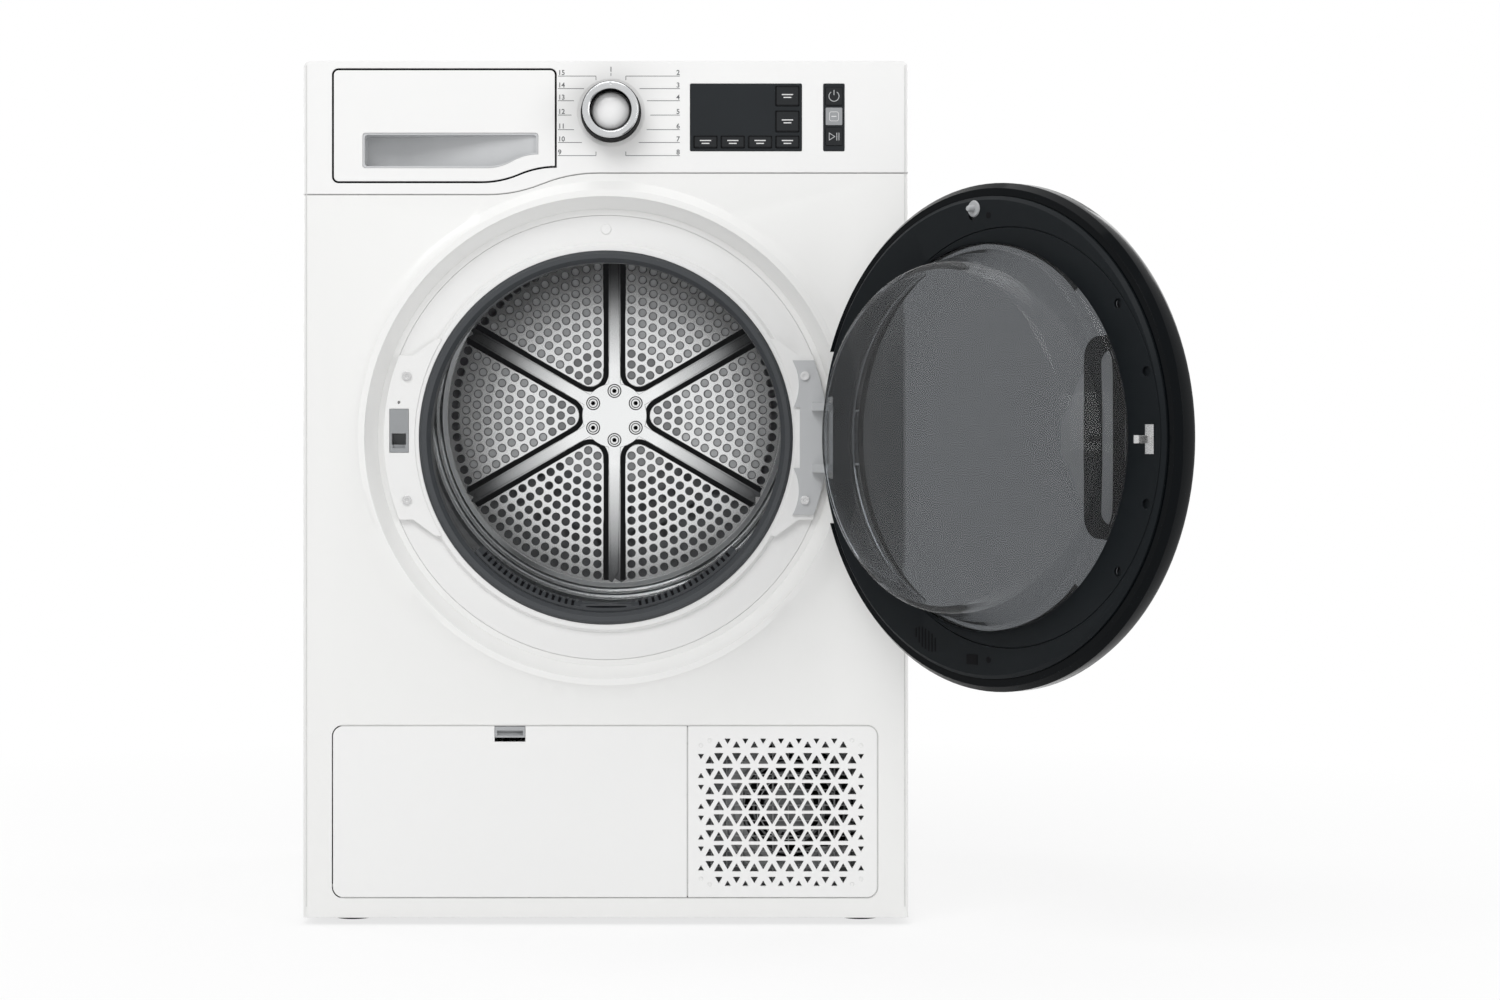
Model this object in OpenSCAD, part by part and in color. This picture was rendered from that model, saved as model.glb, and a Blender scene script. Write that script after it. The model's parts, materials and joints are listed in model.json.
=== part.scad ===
// Front-loading heat-pump clothes dryer, 9 kg class, with its door swung open.
// Millimetres. The origin is on the floor under the middle of the cabinet,
// +X is to the right, +Y to the back and +Z up. The front faces -Y.

/* [Cabinet] */
// Width over the two side panels
width = 595; // [585:1:605]
// Depth from the front panel to the back of the rear air duct
depth = 610; // [600:1:640]
// Height of the worktop above the floor
height = 849; // [845:1:870]
// Thickness of the painted sheet steel
sheet_t = 1.2; // [0.8:0.1:1.5]
// Radius of the upright front edges
edge_r = 6; // [4:1:9]
// How far the front panel wraps round the sides
wrap_d = 14; // [10:1:20]
// Thickness of the worktop
worktop_t = 22; // [18:1:24]
// Clear height under the cabinet
foot_h = 7; // [6:1:10]
// How far the rear air duct stands out behind the rear panel
duct_d = 40; // [32:1:48]
// Number of pressed beads on each side panel
bead_count = 4; // [2:1:6]
// Radius of a pressed bead
bead_r = 5; // [3:0.5:6]

/* [Door recess] */
// Height of the centre of the loading opening above the floor
open_z = 478.5; // [476:0.5:482]
// Radius of the sharp front edge of the recess
recess_r = 236.6; // [235:0.1:238]
// Depth of the recess behind the front panel
recess_d = 17; // [16:0.5:19]
// How much the recess narrows from its edge to its foot
recess_taper = 11; // [9:0.5:12]
// Radius of the foot of the raised ring round the recess
bulge_r = 252; // [248:1:254]
// Height of the raised ring
bulge_h = 6; // [4:0.5:7]
// How far the raised ring spreads to the sides and down
bulge_spread = 14; // [6:1:16]
// Height of the platforms that carry the hinge and the latch
platform_h = 6; // [4:0.5:6]
// Length of the platforms along Z
platform_l = 162; // [150:1:170]
// Outer radius of the dark loading ring
ring_r = 184.3; // [183:0.1:186]
// Inner radius of the loading ring
mouth_r = 172.8; // [172:0.1:174]
// Distance from the front panel to the back end of the tunnel
tunnel_l = 86; // [80:1:90]

/* [Drum] */
// Clearance between the drum and the side panels
drum_gap = 20.3; // [19.3:0.1:26.3]
// Height of the drum's axis above the floor
drum_z = 504; // [502:0.5:506]
// Thickness of the drum's steel
drum_t = 1.2; // [0.8:0.1:1.5]
// Distance from the front panel to the front of the drum
drum_start = 95; // [93:1:110]
// Radius of the drum's front lip
lip_r = 222; // [220:0.5:226]
// Distance from the front panel to the perforated back
disc_start = 525; // [515:1:530]
// Radius of the perforated sectors
disc_r = 191; // [188:1:194]
// Diameter of the perforations
hole_d = 8.7; // [6:0.1:9.5]
// Pitch of the perforations along a spoke
hole_pitch = 12.5; // [12:0.1:12.6]
// Rows of perforations in each sector
hole_rows = 12; // [8:1:12]
// Half width of the valley that a spoke lies in
valley_w = 13; // [10:0.5:13]
// Height of a spoke over its valley
spoke_h = 6; // [4:0.5:8]
// Height of a lifter inside the drum
lifter_h = 48; // [30:1:52]
// Radius of the drum's rear shaft
shaft_r = 12; // [8:0.5:15]
// Radius of the two support rollers
roller_r = 25; // [20:0.5:28]
// Radius of the motor pulley
pulley_r = 12; // [10:0.5:14]

/* [Door] */
// Outer radius of the door
door_r = 233; // [230:0.5:234]
// Angle at which the door stands open
door_open = 129; // [90:1:135]
// Distance of the hinge pin from the centre line
hinge_x = 225; // [222:0.5:227]
// How far the hinge pin stands in front of the front panel
hinge_out = 16; // [15:0.5:18]
// Radius of the hinge pin
hinge_pin_r = 2.5; // [2:0.1:3]
// Thickness of the door's outer edge
door_edge = 20; // [18:0.5:22]
// How far the door's front face stands out over its edge
door_dome = 16; // [14:0.5:20]
// Radius of the hole in the door's inner frame
frame_hole_r = 178; // [177:0.5:180]
// Depth of the bowl behind the inner frame
bowl_d = 60; // [45:1:72]
// Radius of the bowl at its flat bottom
bowl_tip_r = 157; // [150:1:160]
// Wall of the bowl
bowl_t = 3.5; // [2.5:0.5:4.5]

/* [Control panel] */
// Height of the control panel at its left end
fascia_h = 131.9; // [131:0.1:134]
// Rise of the lower edge towards the right
fascia_rise = 21.2; // [18:0.1:24]
// Wall of the control panel
fascia_t = 3; // [2:0.5:3.5]
// Depth of the control panel
fascia_d = 28; // [24:1:32]
// Distance of the knob's axis from the centre line
knob_x = 5.2; // [0:0.1:8]
// Height of the knob's axis below the worktop
knob_drop = 51.4; // [48:0.1:54]
// Radius of the knob's base
knob_r = 28; // [24:0.5:30]
// Depth of the knob in front of the panel
knob_d = 30; // [22:1:34]
// Width of the display window
display_w = 109.7; // [108:0.1:114]
// Height of the display window
display_h = 66.2; // [66:0.1:72]
// Distance of the display's left edge from the centre line
display_x = 82.9; // [80:0.1:85]
// Width of an option key
key_w = 23; // [20:0.1:24]
// Height of an option key in the bottom row
key_h = 11.8; // [9:0.1:13]
// Travel of every key
key_travel = 0.8; // [0.5:0.1:1.2]

/* [Water tank] */
// Width of the tank's front
tank_w = 216.8; // [212:0.1:218]
// Distance of the tank's front from the left side of the cabinet
tank_inset = 30.7; // [28:0.1:34]
// Length of the tank behind its front
tank_l = 440; // [380:1:470]
// Width of the seam round the tank's front
tank_seam = 2; // [1.2:0.1:2.4]

/* [Lower panel] */
// Height of the flap's lower edge above the floor
flap_z = 27.2; // [26:0.1:30]
// Height of the flap
flap_h = 167.9; // [165:0.1:169]
// Place of the seam between the flap and the grille
split_x = 80.3; // [76:0.1:84]
// Side of the triangular lattice of the grille
tri_pitch = 17.46; // [17:0.01:17.6]
// Side of the largest triangular hole
tri_side = 12.5; // [9:0.1:13]
// Radius of the cooling fan
fan_r = 66; // [55:1:68]

/* [Fits] */
// Seam between neighbouring panels
seam = 1.2; // [0.8:0.1:1.4]
// Running gap between moving pieces
run = 0.3; // [0.2:0.05:0.4]
// Radial play of a shaft in its bore
play = 0.08; // [0.05:0.01:0.1]

/* [Hidden] */
$fn = 96;

// Main planes
side_x = width / 2;
front_y = -depth / 2;
back_y = depth / 2;
rear_y = back_y - duct_d;
in_x = side_x - sheet_t;
under_z = height - worktop_t;
floor_z = foot_h + 1;
panel_top = height - 0.8;

// Recess and tunnel
foot_r = recess_r - recess_taper;
ring_y = front_y + recess_d;
flange_w = 6;
land_y = ring_y - platform_h;
seal_y = land_y - 2;
collar_in = ring_r + 0.2;
collar_out = collar_in + 4;
bead_w = 8;
bead_y = ring_y - 5;
plate_back = ring_y + 7;
tunnel_y = front_y + tunnel_l;
plug_z = open_z + 205.7;

// Screws of the hinge and the latch
screw_x = 196;
screw_zs = [open_z + 60.7, open_z - 61.5];
screw_r = 2;
head_r = 4.4;
head_h = 2;

// Drum
drum_y = front_y + drum_start;
disc_y = front_y + disc_start;
seam_y = disc_y + 9;
drum_r = in_x - drum_gap;
drum_in = drum_r - drum_t;
spoke_w = 7;
bolt_ring = 28.3;
hub_r = 37;

// Rollers
roller_w = 14;
roller_pin = 5;
roller_dist = drum_r + run + roller_r;
roller_at = [roller_dist * cos(60), drum_z - roller_dist * sin(60)];
roller_y = drum_y + 12;

// Drive
motor_at = [165, 128];
motor_r = 50;
motor_y = -34;
motor_l = 120;
belt_w = 10;
belt_t = 2;
belt_y = -62;
belt_gap = 0.3;
rotor_r = 6;
idler_r = 15;
idler_pin = 4;
drive_dx = motor_at[0];
drive_dz = motor_at[1] - drum_z;
drive_len = sqrt(drive_dx * drive_dx + drive_dz * drive_dz);
drive_dir = atan2(drive_dz, drive_dx);
wrap_angle = acos((drum_r - pulley_r) / drive_len);
slack_dir = drive_dir - wrap_angle;
idler_off = pulley_r + belt_gap - idler_r - run;
idler_at = [motor_at[0] + cos(slack_dir) * idler_off + cos(slack_dir - 90) * 70,
  motor_at[1] + sin(slack_dir) * idler_off + sin(slack_dir - 90) * 70];
impeller_r = 66;
impeller_y = rear_y - 62;
impeller_l = 46;

// Cooling fan and grille
fan_at = [181, 112.6];
shroud_y = front_y + 22;
fan_y = front_y + 34;
fan_l = 22;
fan_pin = 3;

// Door
hinge_y = front_y - hinge_out;
frame_r = door_r - 12.3;
knuckle_r = 5;
knuckle_h = 52;
lug_h = 8;
edge_y = front_y + 3 - door_edge;
face_y = edge_y - door_dome;
frame_y = front_y + 8;
glass_r = 205.7;
glass_t = 3.5;
striker_x = -204;
striker_z = open_z - 1.5;
notch_l = platform_l + 4;
handle_x = -147;
handle_w = 56;
handle_l = 172;

// Control panel
knob_z = height - knob_drop;
cap_r = knob_r - 7.4;
step_x0 = -116;
step_x1 = -8;
step_z0 = height - fascia_h;
step_z1 = step_z0 + fascia_rise;
display_z = height - 89.3;
strip_x = display_x + display_w + 31.5;
strip_w = 20.7;
strip_key_w = 16.3;
strip_key_h = 17.2;
carrier_t = 3;
key_gap = 0.25;
key_col = display_x + display_w - 14.2;
OPTION_KEYS = [
  for (i = [3 : -1 : 0]) [key_col - i * (key_w + 3.8), display_z + 9, key_w, key_h],
  [key_col, display_z + 54.1, key_w, 19.5], [key_col, display_z + 29.2, key_w, 20.6]];
STRIP_KEYS = [for (i = [0 : 2]) [strip_x, display_z + 53.8 - i * 19.8, strip_key_w, strip_key_h]];

// Water tank
tank_x0 = -side_x + tank_inset;
tank_x1 = tank_x0 + tank_w;
tank_top = height - 9.9;
tank_low = height - 118.8;
tank_rise = 15.2;
tank_front_t = 14;
tank_floor = height - 104;
grip_low = height - 106;
grip_high = height - 71.3;
grip_d = 34;
tank_start = front_y + tank_front_t;

// Lint filter
filter_a = 49;
filter_t = 7;
pouch_w = 190;
pouch_y = front_y + 42;
pouch_d = 34;
pouch_low = open_z - 236;

// Lower panel
flap_x0 = -side_x + 29.8;
grille_x1 = side_x - 31.1;
flap_top = flap_z + flap_h;
flap_t = 3;
flap_pin_y = front_y + 5;
flap_pin_z = flap_z + 10.6;
flap_pin_r = 2;
catch_x0 = flap_x0 + 159;
catch_w = 29.5;
catch_h = 10.8;
tri_h = tri_pitch * sin(60);
tri_cols = 19;
tri_rows = 10;
tri_x0 = (split_x + grille_x1) / 2 - (tri_cols - 1) * tri_pitch / 4 - 1.2;
tri_top = flap_z + flap_h / 2 + tri_rows / 2 * tri_h - 0.6;

// Places of the feet
foot_ys = [front_y + 55, rear_y - 45];
foot_x = side_x - 45;
foot_stem = 5;

// ---------------------------------------------------------------- helpers

// A shape drawn in X and Z, made t thick along Y from y0
module plate_y(y0, t) translate([0, y0 + t, 0]) rotate([90, 0, 0]) linear_extrude(t) children();

// A shape drawn in Y and Z, made t thick along X from x0
module plate_x(x0, t) translate([x0, 0, 0]) rotate([90, 0, 90]) linear_extrude(t) children();

// A profile drawn as radius and Y, turned about an axis along Y at x, z
module turn_y(x, z) translate([x, 0, z]) rotate([-90, 0, 0]) rotate_extrude() children();

// The same profile turned only through a either side of straight down
module turn_low(x, z, a) translate([x, 0, z]) rotate([-90, 0, 0]) rotate([0, 0, 90 - a])
  rotate_extrude(angle = 2 * a) children();

// A round bar along Y
module bar_y(x, z, y0, y1, r) translate([x, y1, z]) rotate([90, 0, 0]) cylinder(h = y1 - y0, r = r);

// A round bar along X
module bar_x(x0, x1, y, z, r) translate([x0, y, z]) rotate([0, 90, 0]) cylinder(h = x1 - x0, r = r);

// A box from one corner to the other
module box(a, b) translate(a) cube([b[0] - a[0], b[1] - a[1], b[2] - a[2]]);

// A flat rectangle with round corners, from one corner to the other
module round_rect(x0, z0, x1, z1, r) {
  translate([x0 + r, z0]) square([x1 - x0 - 2 * r, z1 - z0]);
  translate([x0, z0 + r]) square([x1 - x0, z1 - z0 - 2 * r]);
  for (x = [x0 + r, x1 - r], z = [z0 + r, z1 - r]) translate([x, z]) circle(r);
}

// The flat region under a line that rises from z0 to z1 in two arcs
module under_step(x0, z0, x1, z1) {
  r = (pow(x1 - x0, 2) + pow(z1 - z0, 2)) / (4 * (z1 - z0));
  xm = (x0 + x1) / 2;
  zm = (z0 + z1) / 2;
  translate([-width, -1]) square([2 * width, z0 + 1]);
  translate([xm, z0 - 1]) square([width, zm - z0 + 1]);
  translate([x1, z0 - 1]) square([width, z1 - z0 + 1]);
  difference() {
    translate([x0, z0 - 1]) square([xm - x0 + 1, zm - z0 + 1]);
    translate([x0, z0 + r]) circle(r, $fn = 360);
  }
  intersection() {
    translate([xm - 1, zm - 1]) square([x1 - xm + 2, z1 - zm + 1]);
    translate([x1, z1 - r]) circle(r, $fn = 360);
  }
}

// Moves the door from shut to where it stands open
module swing(a = door_open) translate([hinge_x, hinge_y, 0]) rotate([0, 0, a])
  translate([-hinge_x, -hinge_y, 0]) children();

// ---------------------------------------------------------------- cabinet

// One side panel: a sheet with folded edges and pressed beads; over z_cut it ends behind the controls
module side_panel(z_cut) {
  bead_l = depth - duct_d - 150;
  bead_y0 = (front_y + rear_y) / 2 - bead_l / 2;
  pitch = (under_z - foot_h) / (bead_count + 1);
  sink = bead_r * 0.6;
  difference() {
    union() {
      box([-side_x, front_y + wrap_d + 0.4, foot_h], [-in_x, rear_y, under_z]);
      box([-in_x - 0.1, front_y + wrap_d + 0.4, foot_h],
        [-in_x + 12, front_y + wrap_d + 0.4 + sheet_t, under_z]);
      box([-in_x - 0.1, rear_y - 2 * sheet_t, foot_h + 4], [-in_x + 14, rear_y - sheet_t, under_z]);
      for (i = [1 : bead_count]) intersection() {
        bead(bead_y0, bead_l, foot_h + i * pitch, bead_r + sheet_t, sink);
        box([-side_x, front_y, foot_h], [0, rear_y, under_z]);
      }
    }
    for (i = [1 : bead_count]) bead(bead_y0, bead_l, foot_h + i * pitch, bead_r, sink);
    box([-side_x - 1, front_y, z_cut], [-in_x + 20, front_y + fascia_d + 0.4, height]);
  }
}

// A bead along Y with round ends, centred sink outside the sheet
module bead(y0, l, z, r, sink) {
  translate([-side_x - sink, y0, z]) rotate([-90, 0, 0]) cylinder(h = l, r = r);
  for (y = [y0, y0 + l]) translate([-side_x - sink, y, z]) sphere(r);
}

module side_panel_left() color("white") side_panel(step_z0);

module side_panel_right() color("white") mirror([1, 0, 0]) side_panel(step_z1);

// The worktop: a board in a moulded frame with a narrow step round it
module worktop() color("whitesmoke") {
  y0 = front_y + fascia_d + 0.3;
  y1 = rear_y + 22;
  translate([0, 0, under_z]) linear_extrude(worktop_t - 2) round_rect(-side_x, y0, side_x, y1, 5);
  translate([0, 0, height - 2]) linear_extrude(2) round_rect(-side_x + 2, y0 + 2, side_x - 2, y1 - 2, 4);
}

// The raised ring round the recess, as a solid moved back by lift
module bulge_form(lift, tail) {
  for (s = [[0, 0, 9], [-bulge_spread, -8, 25], [bulge_spread, -8, 25]])
    translate([s[0], front_y + lift, open_z + s[1]]) rotate([90, 0, 0]) {
      cylinder(h = bulge_h, r1 = bulge_r, r2 = bulge_r - s[2]);
      if (tail > 0) translate([0, 0, -tail]) cylinder(h = tail, r = bulge_r);
    }
}

// A sheet that wraps round the two upright front edges
module front_wrap(t, d) translate([0, 0, foot_h]) linear_extrude(height) difference() {
  intersection() {
    round_rect(-side_x, front_y, side_x, front_y + 4 * d, edge_r);
    translate([-side_x, front_y]) square([width, d]);
  }
  round_rect(-side_x + t, front_y + t, side_x - t, front_y + 5 * d, edge_r - t / 2);
}

// The outline of the lower panel's opening, grown by g
module lower_outline(g) round_rect(flap_x0 - g, flap_z - g, grille_x1 + g, flap_top + g, 10 + g);

module front_panel() color("white") {
  difference() {
    union() {
      intersection() {
        front_wrap(sheet_t, wrap_d);
        plate_y(front_y - 1, wrap_d + 2) intersection() {
          under_step(step_x0, step_z0 - seam / 2, step_x1, step_z1 - seam / 2);
          translate([-side_x, foot_h]) square([width, height]);
        }
      }
      bulge_form(0, 0);
    }
    bulge_form(sheet_t, sheet_t + 1);
    bar_y(0, open_z, front_y - bulge_h - 1, front_y + recess_d, recess_r);
    plate_y(front_y - 1, sheet_t + 2) lower_outline(seam);
  }
  // drawn wall of the recess with its inner flange
  turn_y(0, open_z) polygon([[recess_r, front_y - bulge_h], [recess_r + sheet_t, front_y - bulge_h],
    [foot_r + sheet_t, ring_y + sheet_t], [foot_r - flange_w, ring_y + sheet_t],
    [foot_r - flange_w, ring_y], [foot_r, ring_y]]);
}

// The ring inside the recess with platforms, tunnel collar and roller bosses
module front_bulkhead() color("white") {
  rim = foot_r - flange_w - 0.3;
  difference() {
    union() {
      turn_y(0, open_z) polygon([[collar_in, bead_y], [collar_in + bead_w - 3, bead_y],
        [collar_in + bead_w, ring_y], [rim, ring_y], [rim, ring_y + sheet_t],
        [foot_r + 12, ring_y + sheet_t], [foot_r + 12, ring_y + 4], [collar_out, ring_y + 4],
        [collar_out, tunnel_y], [collar_in, tunnel_y]]);
      plate_y(ring_y + 4, 3) difference() {
        round_rect(-in_x + 13, 215, in_x - 13, step_z0 - 8, 20);
        translate([0, open_z]) circle(collar_out - 0.5);
      }
      plate_y(land_y, platform_h + 0.5) intersection() {
        translate([0, open_z]) difference() {
          circle(rim);
          circle(collar_in + bead_w - 4);
        }
        platform_band();
      }
      for (a = [15 : 30 : 345]) translate([0, 0, open_z]) rotate([0, a, 0])
        box([collar_out - 0.5, ring_y + 3, -1.2], [foot_r + 6, ring_y + 40, 1.2]);
      for (s = [-1, 1]) roller_boss(s);
      bar_y(0, plug_z, ring_y - 1, ring_y + 1, 4.9);
    }
    // way of the lint filter's pouch
    box([-pouch_w / 2 - 4, pouch_y - 4, pouch_low - 40],
      [pouch_w / 2 + 4, pouch_y + pouch_d + 4, open_z - 150]);
    // pocket of the latch
    box([striker_x - 9.3, land_y - 1, striker_z - 13.4], [striker_x + 9.7, plate_back + 1, striker_z + 29.8]);
    for (s = [-1, 1], z = screw_zs) bar_y(s * screw_x, z, land_y - 1, plate_back + 4, screw_r + 0.2);
    bar_y(striker_x, striker_z + 36.2, land_y - 1, land_y + 4, 1.5);
  }
}

// The two raised platforms, with their corners drawn out along the tunnel
module platform_band() {
  h = platform_l / 2;
  translate([-side_x, open_z - h]) square([width, platform_l]);
  for (sx = [-1, 1], sz = [-1, 1]) translate([0, open_z])
    polygon([[sx * 150, sz * (h - 1)], [sx * 190, sz * (h - 1)], [sx * 190, sz * h],
      [sx * 168, sz * (h + 16)], [sx * 150, sz * (h + 16)]]);
}

// The post that carries a drum roller
module roller_boss(s) {
  x = s * roller_at[0];
  z = roller_at[1];
  y0 = ring_y + 5;
  y1 = roller_y - roller_w / 2 - run;
  turn_y(x, z) polygon([[0, y0], [17, y0], [17, y0 + 4], [10, y1], [0, y1]]);
  bar_y(x, z, y1 - 0.5, roller_y + roller_w / 2 + 4, roller_pin);
}

// The dark ring that lines the mouth and the tunnel
module loading_ring() color("dimgray") difference() {
  turn_y(0, open_z) polygon([[ring_r, seal_y + 3], [ring_r - 3, seal_y], [mouth_r + 4, seal_y + 0.5],
    [mouth_r, seal_y + 5], [mouth_r, front_y + 30], [mouth_r + 3, tunnel_y],
    [mouth_r + 6, tunnel_y], [mouth_r + 6, front_y + 33], [ring_r, front_y + 26]]);
  turn_low(0, open_z, filter_a + 1.5)
    translate([mouth_r - filter_t - 4, front_y + 32]) square([filter_t + 16, tunnel_l - 34]);
}

// The duct under the tunnel that takes the lint filter
module filter_housing() color("dimgray") difference() {
  wall = 2.5;
  y0 = front_y + 32.3;
  y1 = tunnel_y - 2.3;
  union() {
    turn_low(0, open_z, filter_a + 1) translate([mouth_r + run, y0]) square([2.7, y1 - y0]);
    difference() {
      box([-pouch_w / 2 - 1 - wall, pouch_y - 1 - wall, pouch_low - 1 - wall],
        [pouch_w / 2 + 1 + wall, pouch_y + pouch_d + 1 + wall, open_z - 120]);
      bar_y(0, open_z, front_y, tunnel_y + 10, mouth_r + run + 1);
    }
  }
  box([-pouch_w / 2 - 1, pouch_y - 1, pouch_low - 1],
    [pouch_w / 2 + 1, pouch_y + pouch_d + 1, open_z - 120]);
  // outlet to the heat exchangers
  box([-pouch_w / 2 + 12, pouch_y + pouch_d - 5, pouch_low + 8],
    [pouch_w / 2 - 12, pouch_y + pouch_d + 10, pouch_low + 48]);
}

// The rear panel with its air holes, bearing boss and lower louvres
module rear_panel() color("silver") difference() {
  union() {
    box([-in_x + 0.2, rear_y - sheet_t, foot_h + 4], [in_x - 0.2, rear_y, under_z]);
    bar_y(0, drum_z, rear_y - 22, rear_y, shaft_r + 10);
    turn_y(0, drum_z) polygon([[238, rear_y - sheet_t], [246, rear_y - sheet_t - 5],
      [254, rear_y - sheet_t - 5], [262, rear_y - sheet_t], [262, rear_y], [260, rear_y],
      [253, rear_y - 5], [247, rear_y - 5], [240, rear_y], [238, rear_y]]);
  }
  turn_y(0, drum_z)
    polygon([[241, rear_y + 1], [247.5, rear_y - 4.5], [252.5, rear_y - 4.5], [259, rear_y + 1]]);
  bar_y(0, drum_z, rear_y - 30, rear_y + 1, shaft_r + play);
  for (a = [0 : 15 : 345], r = [110, 145]) translate([r * cos(a + r), 0, drum_z + r * sin(a + r)])
    bar_y(0, 0, rear_y - 10, rear_y + 1, 9);
  bar_y(motor_at[0], motor_at[1], rear_y - 10, rear_y + 1, impeller_r - 4);
  for (i = [0 : 7]) plate_y(rear_y - 3, 4)
    round_rect(-250 , 60 + i * 14, -130, 66 + i * 14, 2.9);
  bar_y(-in_x + 66, under_z - 60, rear_y - 3, rear_y + 1, 9);
}

// The outline of the rear duct, grown by g
module duct_outline(g) {
  translate([0, drum_z]) circle(178 + g);
  polygon([[motor_at[0] - 78 - g, motor_at[1] - 74 - g], [motor_at[0] + 78 + g, motor_at[1] - 74 - g],
    [178 + g, drum_z], [-20 - g, drum_z - 120]]);
}

module rear_duct_cover() color("gainsboro") difference() {
  union() {
    plate_y(rear_y, duct_d - 8) duct_outline(0);
    plate_y(rear_y + duct_d - 8.5, 8.5) duct_outline(-8);
    plate_y(rear_y, 2) duct_outline(12);
  }
  plate_y(rear_y - 1, duct_d - 8) duct_outline(-2.5);
  plate_y(rear_y + duct_d - 10, 7.5) duct_outline(-10.5);
}

// A foot: a pad, a hexagon and a stem
module foot(x, y) translate([x, y, 0]) {
  cylinder(h = 5, r1 = 19, r2 = 17);
  translate([0, 0, 4.9]) cylinder(h = foot_h - 5, r = 9, $fn = 6);
  translate([0, 0, 4.9]) cylinder(h = 30, r = foot_stem);
}

module levelling_feet() color("black") for (s = [-1, 1], y = foot_ys) foot(s * foot_x, y);

// ------------------------------------------------------------ base module

// The base: floor, walls, fan shroud with its guard, duct, cradles and lugs
module base_tray() color("dimgray") difference() {
  union() {
    tray_shell();
    fan_shroud();
    exchanger_duct();
    motor_cradle();
    volute();
    for (s = [-1, 1], y = foot_ys) translate([s * foot_x, y, floor_z]) cylinder(h = 34, r = 11);
    flap_lugs();
    // ring that the compressor stands in
    translate([fan_at[0] - 10, -170, floor_z]) difference() {
      cylinder(h = 14, r = 62);
      cylinder(h = 15, r = 58.3);
    }
  }
  for (s = [-1, 1], y = foot_ys) translate([s * foot_x, y, 0]) cylinder(h = 50, r = foot_stem + play);
}

tray_x = in_x - 0.5;
tray_y0 = front_y + 18;
tray_y1 = rear_y - 3.2;

module tray_shell() difference() {
  box([-tray_x, tray_y0, floor_z], [tray_x, tray_y1, floor_z + 55]);
  box([-tray_x + 3, tray_y0 + 3, floor_z + 3], [tray_x - 3, tray_y1 - 3, floor_z + 60]);
  box([flap_x0, tray_y0 - 5, flap_z - 4], [grille_x1, tray_y0 + 10, flap_top]);
}

// The plate behind the grille with the fan's round opening and its guard
module fan_shroud() {
  plate_y(shroud_y, 3) difference() {
    round_rect(split_x + 3, floor_z, grille_x1 - 1, 200, 4);
    translate([fan_at[0], fan_at[1]]) circle(fan_r + 4);
  }
  for (r = [34, 44, 54, 64]) if (r < fan_r + 2) turn_y(fan_at[0], fan_at[1])
    translate([r, shroud_y]) square([2, 3]);
  bar_y(fan_at[0], fan_at[1], shroud_y, shroud_y + 8, 25);
  bar_y(fan_at[0], fan_at[1], shroud_y + 5, fan_y + fan_l + 3, fan_pin);
  for (a = [20, 110, 200, 290]) translate([fan_at[0], 0, fan_at[1]]) rotate([0, a, 0])
    box([20, shroud_y, -1.5], [fan_r + 6, shroud_y + 3, 1.5]);
}

duct_x0 = -256;
duct_x1 = -6;
duct_y0 = front_y + 88;
duct_y1 = -70;
duct_z = 176;

// Side walls and lid round the heat exchangers
module exchanger_duct() {
  for (x = [duct_x0 - 2.5, duct_x1]) box([x, duct_y0, floor_z], [x + 2.5, duct_y1, duct_z + 0.5]);
  box([duct_x0 - 2.5, duct_y0, duct_z], [duct_x1 + 2.5, duct_y1, duct_z + 3]);
  // funnel that meets the filter housing
  difference() {
    box([-pouch_w / 2, duct_y0 + 4, duct_z + 2], [pouch_w / 2 - 96, duct_y0 + 60, duct_z + 34]);
    box([-pouch_w / 2 + 2.5, duct_y0, duct_z - 1], [pouch_w / 2 - 98.5, duct_y0 + 57.5, duct_z + 31.5]);
  }
  box([-pouch_w / 2 - 8, duct_y0 - 8, duct_z + 40], [pouch_w / 2 + 8, duct_y0 + 4, duct_z + 43]);
  for (x = [-80, 60]) box([x, duct_y0 - 6, floor_z], [x + 3, duct_y0 + 3, duct_z + 41]);
}

// Two saddles under the motor
module motor_cradle() difference() {
  for (y = [motor_y + 8, motor_y + motor_l - 20])
    box([motor_at[0] - 42, y, floor_z], [motor_at[0] + 42, y + 12, motor_at[1] - 20]);
  bar_y(motor_at[0], motor_at[1], motor_y - 5, motor_y + motor_l + 5, motor_r);
}

// The spiral housing of the process fan, open to the back
module volute() {
  y0 = impeller_y - 6;
  y1 = rear_y - sheet_t;
  difference() {
    union() {
      bar_y(motor_at[0], motor_at[1], y0, y1, impeller_r + 9);
      box([motor_at[0] - impeller_r - 9, y0, floor_z], [motor_at[0] + impeller_r + 9, y1, motor_at[1]]);
    }
    bar_y(motor_at[0], motor_at[1], y0 + 3, y1 + 1, impeller_r + 6);
    bar_y(motor_at[0], motor_at[1], y0 - 1, y1, 34);
  }
}

// Lugs that take the flap's pins
module flap_lugs() for (x = [flap_x0 - seam - 7, split_x + 4]) difference() {
  union() {
    bar_x(x, x + 6, flap_pin_y, flap_pin_z, 3.5);
    box([x, flap_pin_y, floor_z], [x + 6, tray_y0 + 4, flap_pin_z + 3.5]);
  }
  bar_x(x - 1, x + 7, flap_pin_y, flap_pin_z, flap_pin_r + play);
}

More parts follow.
